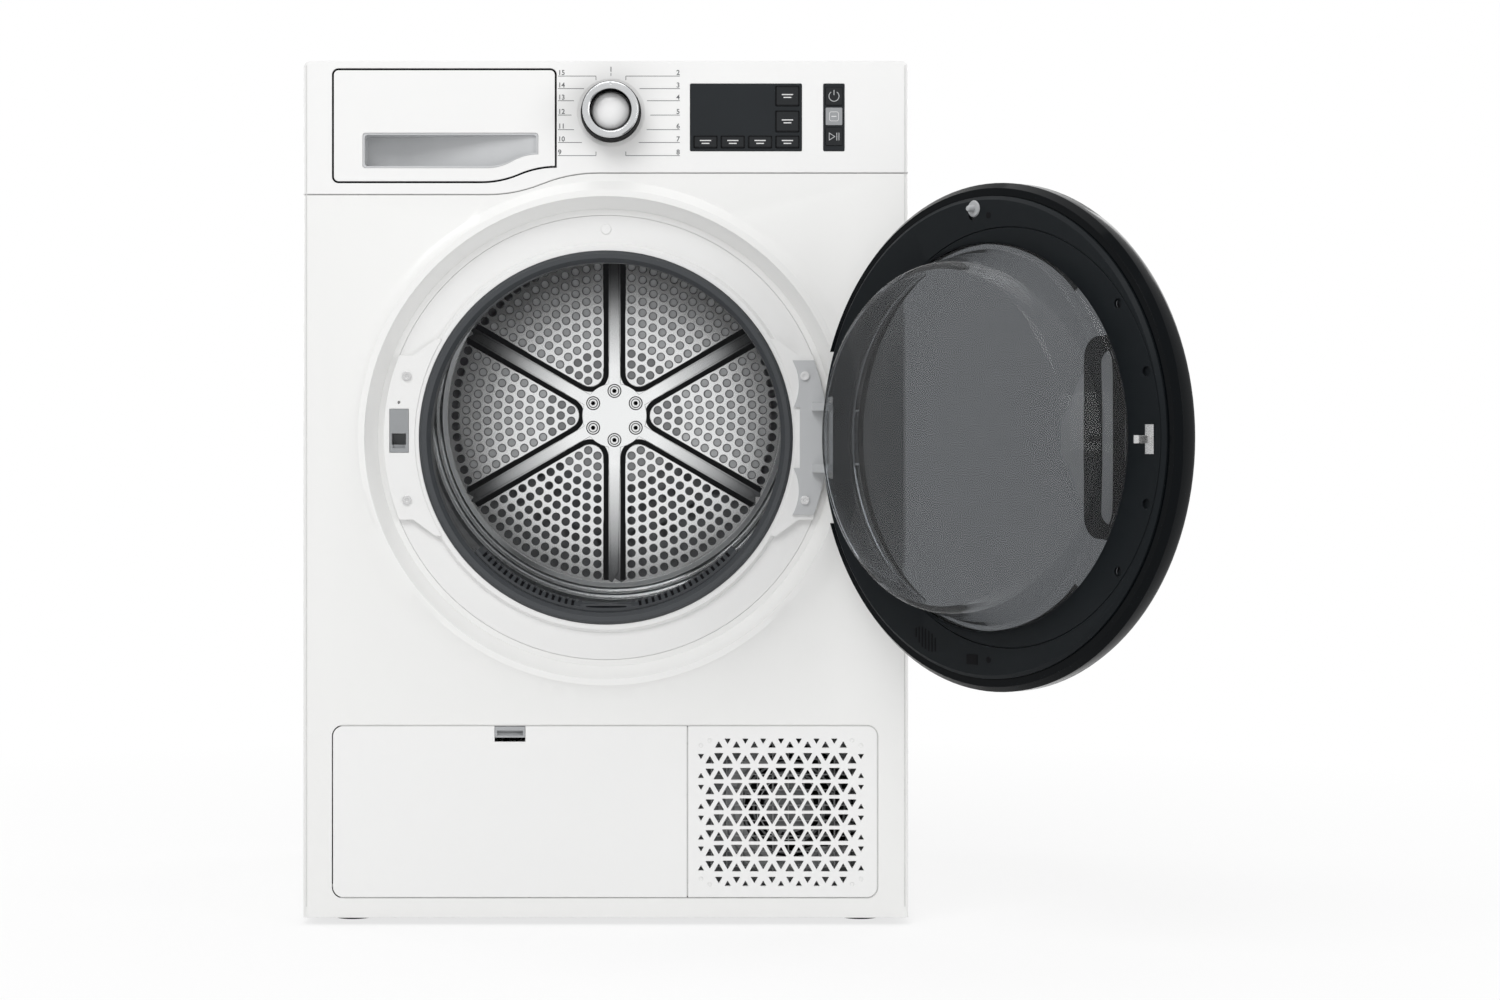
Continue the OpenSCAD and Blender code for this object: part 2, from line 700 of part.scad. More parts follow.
// Two finned blocks with return bends
module heat_exchangers() color("silver") for (p = [[duct_y0 + 6, 62], [duct_y0 + 76, 58]]) {
  x0 = duct_x0 + 4;
  x1 = duct_x1 - 4;
  n = 38;
  step = (x1 - x0 - 1) / n;
  translate([0, 0, floor_z + 8]) linear_extrude(duct_z - floor_z - 14) {
    translate([x0, p[0] + p[1] / 2 - 2]) square([x1 - x0, 4]);
    for (i = [0 : n]) translate([x0 + i * step, p[0]]) square([1, p[1]]);
  }
  box([x0, p[0] + 4, floor_z + 3], [x1, p[0] + p[1] - 4, floor_z + 8.5]);
}

// The compressor with its dome, feet ring and pipe stubs
module compressor() color("black") translate([fan_at[0] - 10, -170, floor_z + 3]) {
  rotate_extrude() polygon([[0, 0], [52, 0], [58, 6], [58, 112], [50, 132], [28, 144], [0, 147]]);
  for (a = [150, 210]) rotate([0, 0, a]) translate([40, 0, 120]) {
    cylinder(h = 38, r = 4);
    translate([0, 0, 38]) sphere(4);
    translate([0, 0, 38]) rotate([0, 90, 0]) cylinder(h = 60, r = 4);
  }
}

// The drive motor with end shields and the arm of the idler
module drive_motor() color("gray") difference() {
  union() {
    bar_y(motor_at[0], motor_at[1], motor_y, motor_y + motor_l, motor_r - 0.4);
    bar_y(motor_at[0], motor_at[1], motor_y - 8, motor_y + motor_l + 8, 20);
    // idler arm
    plate_y(motor_y - 6, 5) {
      translate(motor_at) circle(19);
      translate(idler_at) circle(11);
      arm_strip(motor_at, idler_at, 9);
    }
    bar_y(idler_at[0], idler_at[1], belt_y - belt_w / 2 - 2, motor_y - 4, idler_pin);
  }
  bar_y(motor_at[0], motor_at[1], motor_y - 20, motor_y + motor_l + 20, rotor_r + play);
  for (a = [0 : 30 : 330]) translate([motor_at[0], 0, motor_at[1]]) rotate([0, a, 0])
    box([26, motor_y + motor_l - 4, -3], [42, motor_y + motor_l + 1, 3]);
}

// A straight strip between two points, w each side of the line
module arm_strip(a, b, w) {
  d = atan2(b[1] - a[1], b[0] - a[0]);
  n = [-sin(d) * w, cos(d) * w];
  polygon([a + n, b + n, b - n, a - n]);
}

// The space within the belt's loop, grown by g and longer by l at both ends
module belt_loop(g, l) {
  y0 = belt_y - belt_w / 2 - l;
  y1 = belt_y + belt_w / 2 + l;
  bar_y(0, drum_z, y0, y1, drum_r + belt_gap + g);
  bar_y(motor_at[0], motor_at[1], y0, y1, pulley_r + belt_gap + g);
  plate_y(y0, y1 - y0) polygon([
    for (p = [[1, [0, drum_z], drum_r], [1, motor_at, pulley_r],
      [-1, motor_at, pulley_r], [-1, [0, drum_z], drum_r]])
    p[1] + (p[2] + belt_gap + g - 0.02) * unit(drive_dir + p[0] * wrap_angle)]);
}

module drive_belt() color("black") difference() {
  belt_loop(belt_t, 0);
  belt_loop(0, 1);
}

// The pump in the sump with its riser to the tank
module condensate_pump() color("dimgray") {
  px = duct_x0 + 40;
  riser_r = 5.5;
  riser_x = -in_x + drum_gap / 2 + 1;
  py = 70;
  translate([px, py, floor_z + 3]) {
    cylinder(h = 40, r = 26);
    translate([0, 0, 39]) cylinder(h = 28, r = 18);
  }
  bar_x(riser_x, px - 15, py, floor_z + 30, riser_r);
  translate([riser_x, py, floor_z + 30]) {
    sphere(riser_r);
    cylinder(h = tank_floor - floor_z - 30 + 36, r = riser_r);
  }
}

// ------------------------------------------------------------------ drum

// The drum's shell: lip, front flange, body with two swages and rear seam
module drum_shell() color("silver") turn_y(0, drum_z) polygon([
  [lip_r, drum_y], [lip_r - 2, drum_y + 3], [lip_r, drum_y + 6], [lip_r + 1.6, drum_y + 5],
  [lip_r + 1.5, drum_y + drum_t + 0.6], [drum_in - 5, drum_y + drum_t + 0.6], [drum_in, drum_y + 7],
  [drum_in, drum_y + 60], [drum_in - 3, drum_y + 64], [drum_in - 3, drum_y + 70], [drum_in, drum_y + 74],
  [drum_in, seam_y - 80], [drum_in - 3, seam_y - 76], [drum_in - 3, seam_y - 70], [drum_in, seam_y - 66],
  [drum_in, seam_y], [drum_r, seam_y], [drum_r, seam_y - 66 - 0.4], [drum_r - 3, seam_y - 70 - 0.4],
  [drum_r - 3, seam_y - 76 + 0.4], [drum_r, seam_y - 80 + 0.4], [drum_r, drum_y + 74 - 0.4],
  [drum_r - 3, drum_y + 70 - 0.4], [drum_r - 3, drum_y + 64 + 0.4], [drum_r, drum_y + 60 + 0.4],
  [drum_r, drum_y + 6], [drum_r - 5, drum_y]]);

// One sector as a flat shape, shrunk by g; its middle points along +X
module sector(g) {
  r1 = 15 - g;
  r2 = 6 - g;
  d = valley_w + g;
  c1 = 2 * (d + r1);
  along = sqrt(pow(disc_r - g - r2, 2) - pow(d + r2, 2));
  translate([c1, 0]) circle(r1);
  for (s = [-1, 1]) rotate(s * 30) translate([along, -s * (d + r2)]) circle(r2);
  polygon([for (q = [[1, c1 * cos(30)], [1, along], [-1, along], [-1, c1 * cos(30)]])
    side_point(q[0], q[1], d)]);
  intersection() {
    difference() {
      circle(disc_r - g);
      circle(c1);
    }
    polygon([[0, 0], for (s = [-1, 1]) disc_r * 1.2 * unit(-s * 30 + s * atan2(d + r2, along))]);
  }
}

function unit(a) = [cos(a), sin(a)];

// A point on a sector's side, l along the spoke and d away from it
function side_point(s, l, d) = l * unit(s * 30) + d * unit(s * 30 - s * 90);

// Edge holes of row n: along the sector's axis and across it
function row_x(n) = (46.3 + n * hole_pitch) * cos(30) + (valley_w + 6.6) * sin(30);
function row_y(n) = (46.3 + n * hole_pitch) * sin(30) - (valley_w + 6.6) * cos(30);

// Centres of one sector's perforations: row n has n + 2 holes on a line that bows outwards
HOLES = [for (n = [0 : hole_rows - 1], k = [0 : n + 1]) let (t = 2 * k / (n + 1) - 1)
  [row_x(n) + 1.3 * n * (1 - t * t), t * row_y(n)]];

module perforated_sector() difference() {
  sector(0);
  for (p = HOLES) translate(p) circle(hole_d / 2);
}

// The drum's back: perforated sectors over a dished plate, spokes, beads and shaft
module drum_back() color("lightgray") {
  for (q = [0 : 5]) plate_y(disc_y, 2.4) rotate_about_hub(q * 60) translate([0, drum_z])
    perforated_sector();
  // valleys between the sectors
  plate_y(disc_y + 2.3, 1.7) difference() {
    translate([0, drum_z]) circle(disc_r + 4);
    for (q = [0 : 5]) rotate_about_hub(q * 60) translate([0, drum_z]) sector(1.3);
  }
  // spokes and hub
  plate_y(disc_y + 2.6 - spoke_h, spoke_h) for (q = [0 : 5]) rotate_about_hub(30 + q * 60)
    translate([0, drum_z]) polygon([[20, -spoke_w], [disc_r - 10, -spoke_w * 0.6],
      [disc_r - 3, 0], [disc_r - 10, spoke_w * 0.6], [20, spoke_w]]);
  bar_y(0, drum_z, disc_y + 2.6 - spoke_h, disc_y + 4, hub_r);
  // dished rim with concentric beads up to the seam
  turn_y(0, drum_z) polygon([[disc_r + 2, disc_y + 4], [disc_r + 2, disc_y + 1], [disc_r + 7, disc_y - 2],
    [disc_r + 11, disc_y + 1], [disc_r + 14, disc_y - 1], [disc_r + 18, disc_y + 2],
    [disc_r + 21, disc_y], [disc_r + 26, disc_y + 4], [drum_in - 6, seam_y - 3],
    [drum_in - 0.1, seam_y - 3], [drum_in - 0.1, seam_y], [drum_in - 8, seam_y],
    [disc_r + 26, disc_y + 6.5], [disc_r + 12, disc_y + 4]]);
  // rear hub and shaft
  turn_y(0, drum_z) polygon([[0, disc_y + 3.5], [70, disc_y + 3.5], [40, disc_y + 9],
    [shaft_r + 4, disc_y + 12], [shaft_r, disc_y + 14], [shaft_r, rear_y - 1], [0, rear_y - 1]]);
}

module rotate_about_hub(a) translate([0, drum_z]) rotate(a) translate([0, -drum_z]) children();

// A lifter: a round-nosed fin on a wide foot, along the drum
module lifter(a) plate_y(drum_y + 80, seam_y - drum_y - 170) rotate_about_hub(a) translate([0, drum_z])
  intersection() {
    circle(drum_in - 0.1, $fn = 360);
    union() {
      translate([drum_in - lifter_h + 9, 0]) circle(9);
      polygon([[drum_in + 5, -34], [drum_in - 8, -30], [drum_in - lifter_h + 9, -9],
        [drum_in - lifter_h + 9, 9], [drum_in - 8, 30], [drum_in + 5, 34]]);
    }
  }

module drum_lifters() color("gray") for (a = [60, 180, 300]) lifter(a);

module hub_bolts() color("gray") for (q = [0 : 5]) {
  x = bolt_ring * cos(30 + 60 * q);
  z = drum_z + bolt_ring * sin(30 + 60 * q);
  y0 = disc_y + 2.6 - spoke_h;
  difference() {
    union() {
      bar_y(x, z, y0 - 1.2, y0, 7);
      bar_y(x, z, y0 - 4, y0 - 1.1, 4.6);
    }
    translate([x, y0 - 1.6, z]) rotate([90, 0, 0]) cylinder(h = 4, r = 2.6, $fn = 6);
  }
}

// A roller with a bored hub
module support_roller(s) color("gray") turn_y(s * roller_at[0], roller_at[1])
  polygon([[roller_pin + play, roller_y - roller_w / 2], [12, roller_y - roller_w / 2],
    [12, roller_y - roller_w / 2 + 2], [roller_r - 4, roller_y - roller_w / 2 + 2],
    [roller_r - 4, roller_y - roller_w / 2], [roller_r - 1, roller_y - roller_w / 2],
    [roller_r, roller_y - roller_w / 2 + 1], [roller_r, roller_y + roller_w / 2 - 1],
    [roller_r - 1, roller_y + roller_w / 2], [roller_r - 4, roller_y + roller_w / 2],
    [roller_r - 4, roller_y + roller_w / 2 - 2], [12, roller_y + roller_w / 2 - 2],
    [12, roller_y + roller_w / 2], [roller_pin + play, roller_y + roller_w / 2]]);

module support_roller_left() support_roller(-1);

module support_roller_right() support_roller(1);

// Motor shaft and flanged belt pulley
module motor_rotor() color("silver") {
  x = motor_at[0];
  z = motor_at[1];
  bar_y(x, z, belt_y - belt_w / 2 - 3, impeller_y + impeller_l - 4, rotor_r);
  turn_y(x, z) polygon([[0, belt_y - belt_w / 2 - 3], [pulley_r + 4, belt_y - belt_w / 2 - 3],
    [pulley_r + 4, belt_y - belt_w / 2 - 1], [pulley_r, belt_y - belt_w / 2 - 0.6],
    [pulley_r, belt_y + belt_w / 2 + 0.6], [pulley_r + 4, belt_y + belt_w / 2 + 1],
    [pulley_r + 4, belt_y + belt_w / 2 + 3], [0, belt_y + belt_w / 2 + 3]]);
}

// Backward-curved process fan wheel
module process_impeller() color("gray") {
  x = motor_at[0];
  z = motor_at[1];
  y1 = impeller_y + impeller_l - 4;
  difference() {
    union() {
      bar_y(x, z, y1 - 3, y1, impeller_r);
      bar_y(x, z, y1 - 20, y1, 12);
      turn_y(x, z) translate([impeller_r - 14, impeller_y]) square([14, 2.5]);
    }
    bar_y(x, z, impeller_y - 5, y1 + 1, rotor_r + 0.02);
  }
  plate_y(impeller_y + 0.5, impeller_l - 7) for (i = [0 : 15]) translate([x, z]) rotate(i * 22.5)
    translate([impeller_r - 9, 0]) rotate(35) translate([-8, -1]) square([16, 2]);
}

// Idler inside the slack side of the belt
module idler_pulley() color("gray") turn_y(idler_at[0], idler_at[1])
  polygon([[idler_pin + play, belt_y - belt_w / 2 - 1], [idler_r, belt_y - belt_w / 2 - 1],
    [idler_r, belt_y + belt_w / 2 + 1], [idler_pin + play, belt_y + belt_w / 2 + 1]]);

// Seven-bladed axial fan on a cup-shaped hub
module cooling_fan() color("black") {
  x = fan_at[0];
  z = fan_at[1];
  turn_y(x, z) polygon([[fan_pin + play, fan_y], [23, fan_y], [25, fan_y + 2], [25, fan_y + fan_l],
    [22, fan_y + fan_l], [22, fan_y + 4], [8, fan_y + 4], [8, fan_y + fan_l - 2],
    [fan_pin + play, fan_y + fan_l - 2]]);
  intersection() {
    turn_y(x, z) translate([23.5, fan_y]) square([fan_r - 23.5, fan_l]);
    for (i = [0 : 6]) translate([x, fan_y + fan_l / 2, z]) rotate([0, i * 360 / 7, 0])
      rotate([38, 0, 0]) box([22, -16, -1], [fan_r + 5, 16, 1]);
  }
}

// ---------------------------------------------------------- control panel

// Outline of the tank's front, grown by g
module tank_outline(g) difference() {
  round_rect(tank_x0 - g, tank_low - g, tank_x1 + g, tank_top + g, 4.5 + g);
  under_step(tank_x0 + 144.8, tank_low - g, tank_x0 + tank_w + 2, tank_low + tank_rise - g);
}

// Outline of the grip's recess in the tank's front, shrunk by g
module grip_outline(g) difference() {
  round_rect(tank_x0 + 28.1 + g, grip_low + g, tank_x1 - 16.2 - g, grip_high - g, 3);
  under_step(tank_x0 + 150, grip_low + g, tank_x1 - 16.2 + g, grip_low + 13.5 + g);
}

module fascia_shape(t) intersection() {
  translate([0, 0, foot_h]) linear_extrude(height) intersection() {
    round_rect(-side_x + t, front_y + t, side_x - t, front_y + 4 * fascia_d, edge_r - t / 2);
    translate([-side_x, front_y]) square([width, fascia_d + (t > 0 ? 1 : 0)]);
  }
  plate_y(front_y - 1, fascia_d + 3) difference() {
    round_rect(-side_x + t, step_z0 - 60, side_x - t, panel_top - t, 8 - t);
    if (t == 0) under_step(step_x0, step_z0 + seam / 2, step_x1, step_z1 + seam / 2);
  }
}

// The window of the display or of the key strip, grown by g
module window(g, strip) {
  x0 = strip ? strip_x - strip_w / 2 : display_x;
  x1 = strip ? strip_x + strip_w / 2 : display_x + display_w;
  round_rect(x0 - g, display_z - g, x1 + g, display_z + display_h + g, 1.5);
}

module control_fascia() color("white") difference() {
  union() {
    difference() {
      fascia_shape(0);
      fascia_shape(fascia_t);
    }
    bar_y(knob_x, knob_z, front_y + 0.5, front_y + 16, 8);
  }
  plate_y(front_y - 1, fascia_t + 2) {
    tank_outline(tank_seam);
    window(0.2, false);
    window(0.2, true);
  }
  // shallow dish round the knob
  turn_y(knob_x, knob_z) polygon([[0, front_y - 1], [knob_r + 6, front_y - 1], [knob_r + 5, front_y + 0.1],
    [knob_r - 2, front_y + 1.2], [0, front_y + 1.2]]);
  bar_y(knob_x, knob_z, front_y - 2, front_y + 20, 3.5 + play);
}

// Display window and key strip on one carrier behind the panel
module display_unit() color("black") difference() {
  union() {
    plate_y(front_y - 0.3, fascia_t + 0.8) {
      window(0, false);
      window(0, true);
    }
    plate_y(front_y + fascia_t, carrier_t)
      round_rect(display_x - 6, display_z - 6, strip_x + strip_w / 2 + 6, display_z + display_h + 6, 3);
  }
  for (k = concat(OPTION_KEYS, STRIP_KEYS)) plate_y(front_y - 2, 12)
    round_rect(k[0] - k[2] / 2 - key_gap, k[1] - k[3] / 2 - key_gap,
      k[0] + k[2] / 2 + key_gap, k[1] + k[3] / 2 + key_gap, 1 + key_gap);
}

// A key: a cap that stands proud and a collar that holds it behind the carrier
module key(k) {
  back = front_y + fascia_t + carrier_t + key_gap;
  plate_y(front_y - 0.3 - key_travel - 0.3, back - front_y + key_travel + 1.6)
    round_rect(k[0] - k[2] / 2, k[1] - k[3] / 2, k[0] + k[2] / 2, k[1] + k[3] / 2, 1);
  plate_y(back, 1.2) round_rect(k[0] - k[2] / 2 - 1, k[1] - k[3] / 2 - 0.9,
    k[0] + k[2] / 2 + 1, k[1] + k[3] / 2 + 0.9, 1);
}

// Programme knob: black drum with its shaft, a bright ring on its rim, white cap deep in its bore
module knob_base() color("black") turn_y(knob_x, knob_z) polygon([
  [0, front_y + 14], [3.5, front_y + 14], [3.5, front_y + 0.5], [knob_r - 3, front_y + 0.5],
  [knob_r, front_y - 1], [knob_r, front_y - knob_d + 3], [cap_r, front_y - knob_d + 3],
  [cap_r, front_y - 3], [0, front_y - 3]]);

module knob_ring() color("silver") difference() {
  turn_y(knob_x, knob_z) polygon([
    [cap_r, front_y - knob_d + 3], [knob_r - 0.3, front_y - knob_d + 3],
    [knob_r - 0.5, front_y - knob_d + 1.2], [knob_r - 1.7, front_y - knob_d],
    [cap_r + 1.2, front_y - knob_d], [cap_r, front_y - knob_d + 0.8]]);
  // pointer
  box([knob_x - 0.6, front_y - knob_d - 1, knob_z + knob_r - 3.4],
    [knob_x + 0.6, front_y - knob_d + 0.8, knob_z + knob_r + 1]);
}

module knob_cap() color("white") turn_y(knob_x, knob_z) polygon([
  [0, front_y - 9], [12, front_y - 8.7], [cap_r - 2.6, front_y - 7.8], [cap_r - 0.2, front_y - 6.2],
  [cap_r - 0.2, front_y - 3], [0, front_y - 3]]);

// ------------------------------------------------------------- water tank

module tank_front() color("white") difference() {
  plate_y(front_y, tank_front_t) tank_outline(0);
  plate_y(front_y - 1, tank_front_t + 2) grip_outline(0);
}

// Grey scoop of the grip, deep at its left and shallow at its right
module tank_grip() color("silver") difference() {
  plate_y(front_y + 0.6, grip_d) grip_outline(0.2);
  intersection() {
    plate_y(front_y - 1, grip_d) grip_outline(2);
    translate([0, 0, grip_low - 5]) linear_extrude(60) polygon([
      [tank_x0, front_y - 2], [tank_x1, front_y - 2], [tank_x1 - 18, front_y + 3],
      [tank_x1 - 70, front_y + 12], [tank_x0 + 70, front_y + grip_d - 3], [tank_x0, front_y + grip_d - 3]]);
  }
}

// The tank: flat on the left, hollowed over the drum on the right
module tank_body() color("lightgray") difference() {
  union() {
    box([tank_x0 + 6, tank_start, tank_floor], [tank_x1 - 6, tank_start + tank_l, under_z - 5]);
    for (y = [tank_start + 60 : 60 : tank_start + tank_l - 30])
      box([tank_x0 + 20, y, under_z - 6], [tank_x1 - 20, y + 4, under_z - 3]);
  }
  bar_y(0, drum_z, front_y, back_y, drum_r + 14);
  plate_y(tank_start - 1, grip_d - tank_front_t + 2.4) grip_outline(-1);
  // filler hole over the rear end
  translate([tank_x0 + 40, tank_start + tank_l - 50, under_z - 20]) cylinder(h = 30, r = 14);
}

// The fixed channel that the tank slides in
module tank_housing() color("whitesmoke") {
  y0 = front_y + grip_d + 2;
  y1 = tank_start + tank_l + 6;
  difference() {
    box([tank_x0 + 3, y0, tank_floor - 3], [tank_x1 - 3, y1, under_z - 8]);
    difference() {
      box([tank_x0 + 5.5, y0 - 1, tank_floor - run], [tank_x1 - 5.5, y1 - 3, under_z]);
      bar_y(0, drum_z, y0 - 2, y1 + 2, drum_r + 13.5);
    }
    bar_y(0, drum_z, y0 - 2, y1 + 2, drum_r + 8);
  }
  box([-in_x, y0 + 20, under_z - 45], [tank_x0 + 4, y1 - 20, under_z - 43]);
}

// ------------------------------------------------------------ lint filter

// Curved comb over a pouch, with a grip in the middle
module lint_filter() color("dimgray") {
  y0 = front_y + 33;
  y1 = tunnel_y - 3;
  difference() {
    turn_low(0, open_z, filter_a) polygon([[mouth_r, y0], [mouth_r - 3, y0],
      [mouth_r - filter_t, y0 + 8], [mouth_r - filter_t, y1 - 4], [mouth_r - 3, y1], [mouth_r, y1]]);
    for (i = [-20 : 20]) if (abs(i) > 3) translate([0, 0, open_z]) rotate([0, i * 2.3, 0])
      box([-2, y0 + 10, -mouth_r - 2], [2, y1 - 8, -mouth_r + filter_t + 2]);
    box([-pouch_w / 2 + 3, pouch_y + 3, open_z - 240],
      [pouch_w / 2 - 3, pouch_y + pouch_d - 3, open_z - mouth_r + 1]);
  }
  // grip
  difference() {
    intersection() {
      box([-26, y0, open_z - mouth_r], [26, y0 + 10, open_z - mouth_r + filter_t]);
      bar_y(0, open_z, y0, y0 + 10, mouth_r);
    }
    box([-20, y0 - 1, open_z - mouth_r + 2.5], [20, y0 + 6, open_z - mouth_r + 5.5]);
  }
  // pouch
  difference() {
    box([-pouch_w / 2, pouch_y, pouch_low], [pouch_w / 2, pouch_y + pouch_d, open_z - 130]);
    bar_y(0, open_z, front_y, tunnel_y + 10, mouth_r - 1);
    box([-pouch_w / 2 + 2.5, pouch_y + 2.5, pouch_low + 2.5],
      [pouch_w / 2 - 2.5, pouch_y + pouch_d - 2.5, open_z - 120]);
    for (x = [-88, -28.5, 31])
      box([x, pouch_y - 1, pouch_low + 6], [x + 57, pouch_y + pouch_d + 1, pouch_low + 46]);
  }
}

// The fine mesh inside the pouch's windows
module filter_mesh() color("lightgray") for (y = [pouch_y + 2.5, pouch_y + pouch_d - 3.3])
  box([-pouch_w / 2 + 4, y, pouch_low + 4], [pouch_w / 2 - 4, y + 0.8, pouch_low + 48]);

// ------------------------------------------------------------ lower panel

// The hinged flap with its stiffening rim, pins and the catch's cut-out
module flap() color("white") difference() {
  union() {
    plate_y(front_y, flap_t) intersection() {
      lower_outline(0);
      translate([flap_x0 - 1, flap_z - 1]) square([split_x - seam / 2 - flap_x0 + 1, flap_h + 2]);
    }
    plate_y(front_y + flap_t - 0.5, 7) difference() {
      round_rect(flap_x0 + 12, flap_z + 11, split_x - 12, flap_top - 17, 4);
      round_rect(flap_x0 + 14.5, flap_z + 13.5, split_x - 14.5, flap_top - 19.5, 3);
    }
    for (i = [1 : 4]) box([flap_x0 + 14 + i * 64, front_y + flap_t - 0.5, flap_z + 12],
      [flap_x0 + 16.5 + i * 64, front_y + flap_t + 5, flap_top - 18]);
    // pins with their bearers
    for (s = [[flap_x0 - seam - 6, flap_x0 + 12], [split_x - 13, split_x + 9]])
      bar_x(s[0], s[1], flap_pin_y, flap_pin_z, flap_pin_r);
    for (x = [flap_x0 + 3, split_x - 11])
      box([x, front_y + 1, flap_pin_z - 2], [x + 8, flap_pin_y + 1, flap_pin_z + 2]);
  }
  box([catch_x0 - 0.4, front_y - 1, flap_top - catch_h - 4.5],
    [catch_x0 + catch_w + 0.4, front_y + flap_t + 1, flap_top + 2]);
}

// The sprung catch: a thumb plate with a lip and a hook behind the panel
module flap_catch() color("gray") {
  x0 = catch_x0;
  x1 = catch_x0 + catch_w;
  z1 = flap_top - 0.4;
  difference() {
    box([x0, front_y, z1 - catch_h], [x1, front_y + 8, z1]);
    box([x0 + 2, front_y - 1, z1 - catch_h + 2], [x1 - 2, front_y + 5.5, z1 - 4]);
  }
  box([x0 + 6, front_y + 5, z1 - 1], [x1 - 6, front_y + 8, z1 + 4]);
  box([x0 - 5, front_y + flap_t + 0.4, z1 - catch_h], [x1 + 5, front_y + 5, z1 - catch_h + 4]);
}

// One triangular hole with its corners cut
function tri_hole(s, up) = let (r = s / sqrt(3), c = s * 0.07,
  v = [for (i = [0 : 2]) r * unit((up ? 90 : -90) + 120 * i)])
  [for (i = [0 : 2], q = [2, 1]) v[i] + (v[(i + q) % 3] - v[i]) * (c / s)];

// Row of a hole's centre below the top of the lattice
function tri_row(n, up) = n + (up ? 2 : 1) / 3;

// Share by which a hole shrinks towards the edges of the grille
function tri_fade(k, row) = max(0.52 * pow(abs(2 * k / (tri_cols - 1) - 1), 5),
  0.62 * pow(abs(2 * row / tri_rows - 1), 3));

module vent_grille() color("white") difference() {
  grille_solid();
  // room for the flap's right lug
  bar_x(split_x, split_x + 10.5, flap_pin_y, flap_pin_z, 3.9);
  box([split_x, flap_pin_y, flap_z], [split_x + 10.5, tray_y0, flap_pin_z + 3.9]);
}

module grille_solid() {
  difference() {
    plate_y(front_y, flap_t) difference() {
      intersection() {
        lower_outline(0);
        translate([split_x + seam / 2, flap_z - 1]) square([width, flap_h + 2]);
      }
      tri_places(false) polygon(tri_hole(tri_side * (1 - tri_fade($k, $row)), $up));
    }
    // blind dots at the corners of the lattice
    plate_y(front_y - 1, 1.6) tri_places(true) circle(2);
  }
  // rim behind the grille that clips into the panel
  plate_y(front_y + flap_t - 0.5, 12) difference() {
    round_rect(split_x + 3, flap_z + 7, grille_x1 - 3, flap_top - 4, 4);
    round_rect(split_x + 5.5, flap_z + 9.5, grille_x1 - 5.5, flap_top - 6.5, 3);
  }
}

// Puts its children at the lattice's corner places, or at all the others
module tri_places(corners) for ($k = [0 : tri_cols - 1], n = [0 : tri_rows - 1]) {
  $up = (n + $k) % 2 == 0;
  $row = tri_row(n, $up);
  corner = (n == 0 || n == tri_rows - 1) && ($k < 2 || $k > tri_cols - 3);
  if (corner == corners) translate([tri_x0 + $k * tri_pitch / 2, tri_top - $row * tri_h]) children();
}

// ------------------------------------------------------ hinge, latch, inlet

module latch_housing() color("silver") difference() {
  box([striker_x - 9, land_y - 0.5, striker_z - 13.1], [striker_x + 9.4, plate_back + 12, striker_z + 29.5]);
  box([striker_x - 7, land_y - 2, striker_z - 5.5], [striker_x + 7, plate_back + 6, striker_z + 5.5]);
  box([striker_x - 6, land_y - 2, striker_z - 9], [striker_x + 6, land_y + 4, striker_z - 4]);
}

// The fixed half of the hinge: a waisted plate with two lugs and the pin
module hinge_plate() color("lightgray") difference() {
  union() {
    plate_y(land_y - 2.5, 2.5) difference() {
      intersection() {
        translate([0, open_z]) circle(foot_r - flange_w - 1);
        translate([181, open_z - 76]) square([60, 152]);
      }
      for (s = [-1, 1]) translate([140, open_z + s * 52]) circle(50);
      translate([100, open_z - 30]) square([91, 60]);
    }
    for (z = [open_z - knuckle_h / 2 - run - lug_h, open_z + knuckle_h / 2 + run]) hinge_lug(z);
    translate([hinge_x, hinge_y, open_z - knuckle_h / 2 - run - lug_h])
      cylinder(h = knuckle_h + 2 * (run + lug_h), r = hinge_pin_r);
  }
  for (z = screw_zs) bar_y(screw_x, z, land_y - 5, land_y + 5, screw_r + 0.2);
}

module hinge_lug(z) translate([0, 0, z]) linear_extrude(lug_h) {
  translate([hinge_x, hinge_y]) circle(knuckle_r);
  polygon([[203, land_y - 1], [203, front_y + 2], [hinge_x - 8, hinge_y - 4], [hinge_x, hinge_y - knuckle_r],
    [hinge_x, hinge_y + knuckle_r], [hinge_x - 4, front_y - 4], [216, land_y - 1]]);
}

module front_screws() color("silver") for (s = [-1, 1], z = screw_zs) {
  y0 = s < 0 ? land_y : land_y - 2.5;
  difference() {
    union() {
      bar_y(s * screw_x, z, y0 - head_h, y0, head_r);
      bar_y(s * screw_x, z, y0 - 0.1, y0 + 14, screw_r);
    }
    translate([s * screw_x, y0 - head_h / 2, z]) rotate([90, 0, 0]) cylinder(h = head_h, r = 2, $fn = 6);
  }
}

// Gland where the mains lead would enter
module mains_inlet() color("black") {
  x = -in_x + 66;
  z = under_z - 60;
  difference() {
    union() {
      plate_y(rear_y, 4) round_rect(x - 22, z - 16, x + 22, z + 16, 4);
      turn_y(x, z) polygon([[0, rear_y - 6], [8.7, rear_y - 6], [8.7, rear_y], [13, rear_y + 3.5],
        [13, rear_y + 12], [10, rear_y + 20], [0, rear_y + 20]]);
    }
    bar_y(x, z, rear_y - 8, rear_y + 21, 4.5);
  }
}

// ------------------------------------------------------------------ door
// All door pieces are drawn shut and then swung open.

// Room for the hinge in the door's edge; l is its length along Z
module hinge_notch(l, x0) box([x0, edge_y - 7, open_z - l / 2], [door_r + 10, frame_y + 5, open_z + l / 2]);

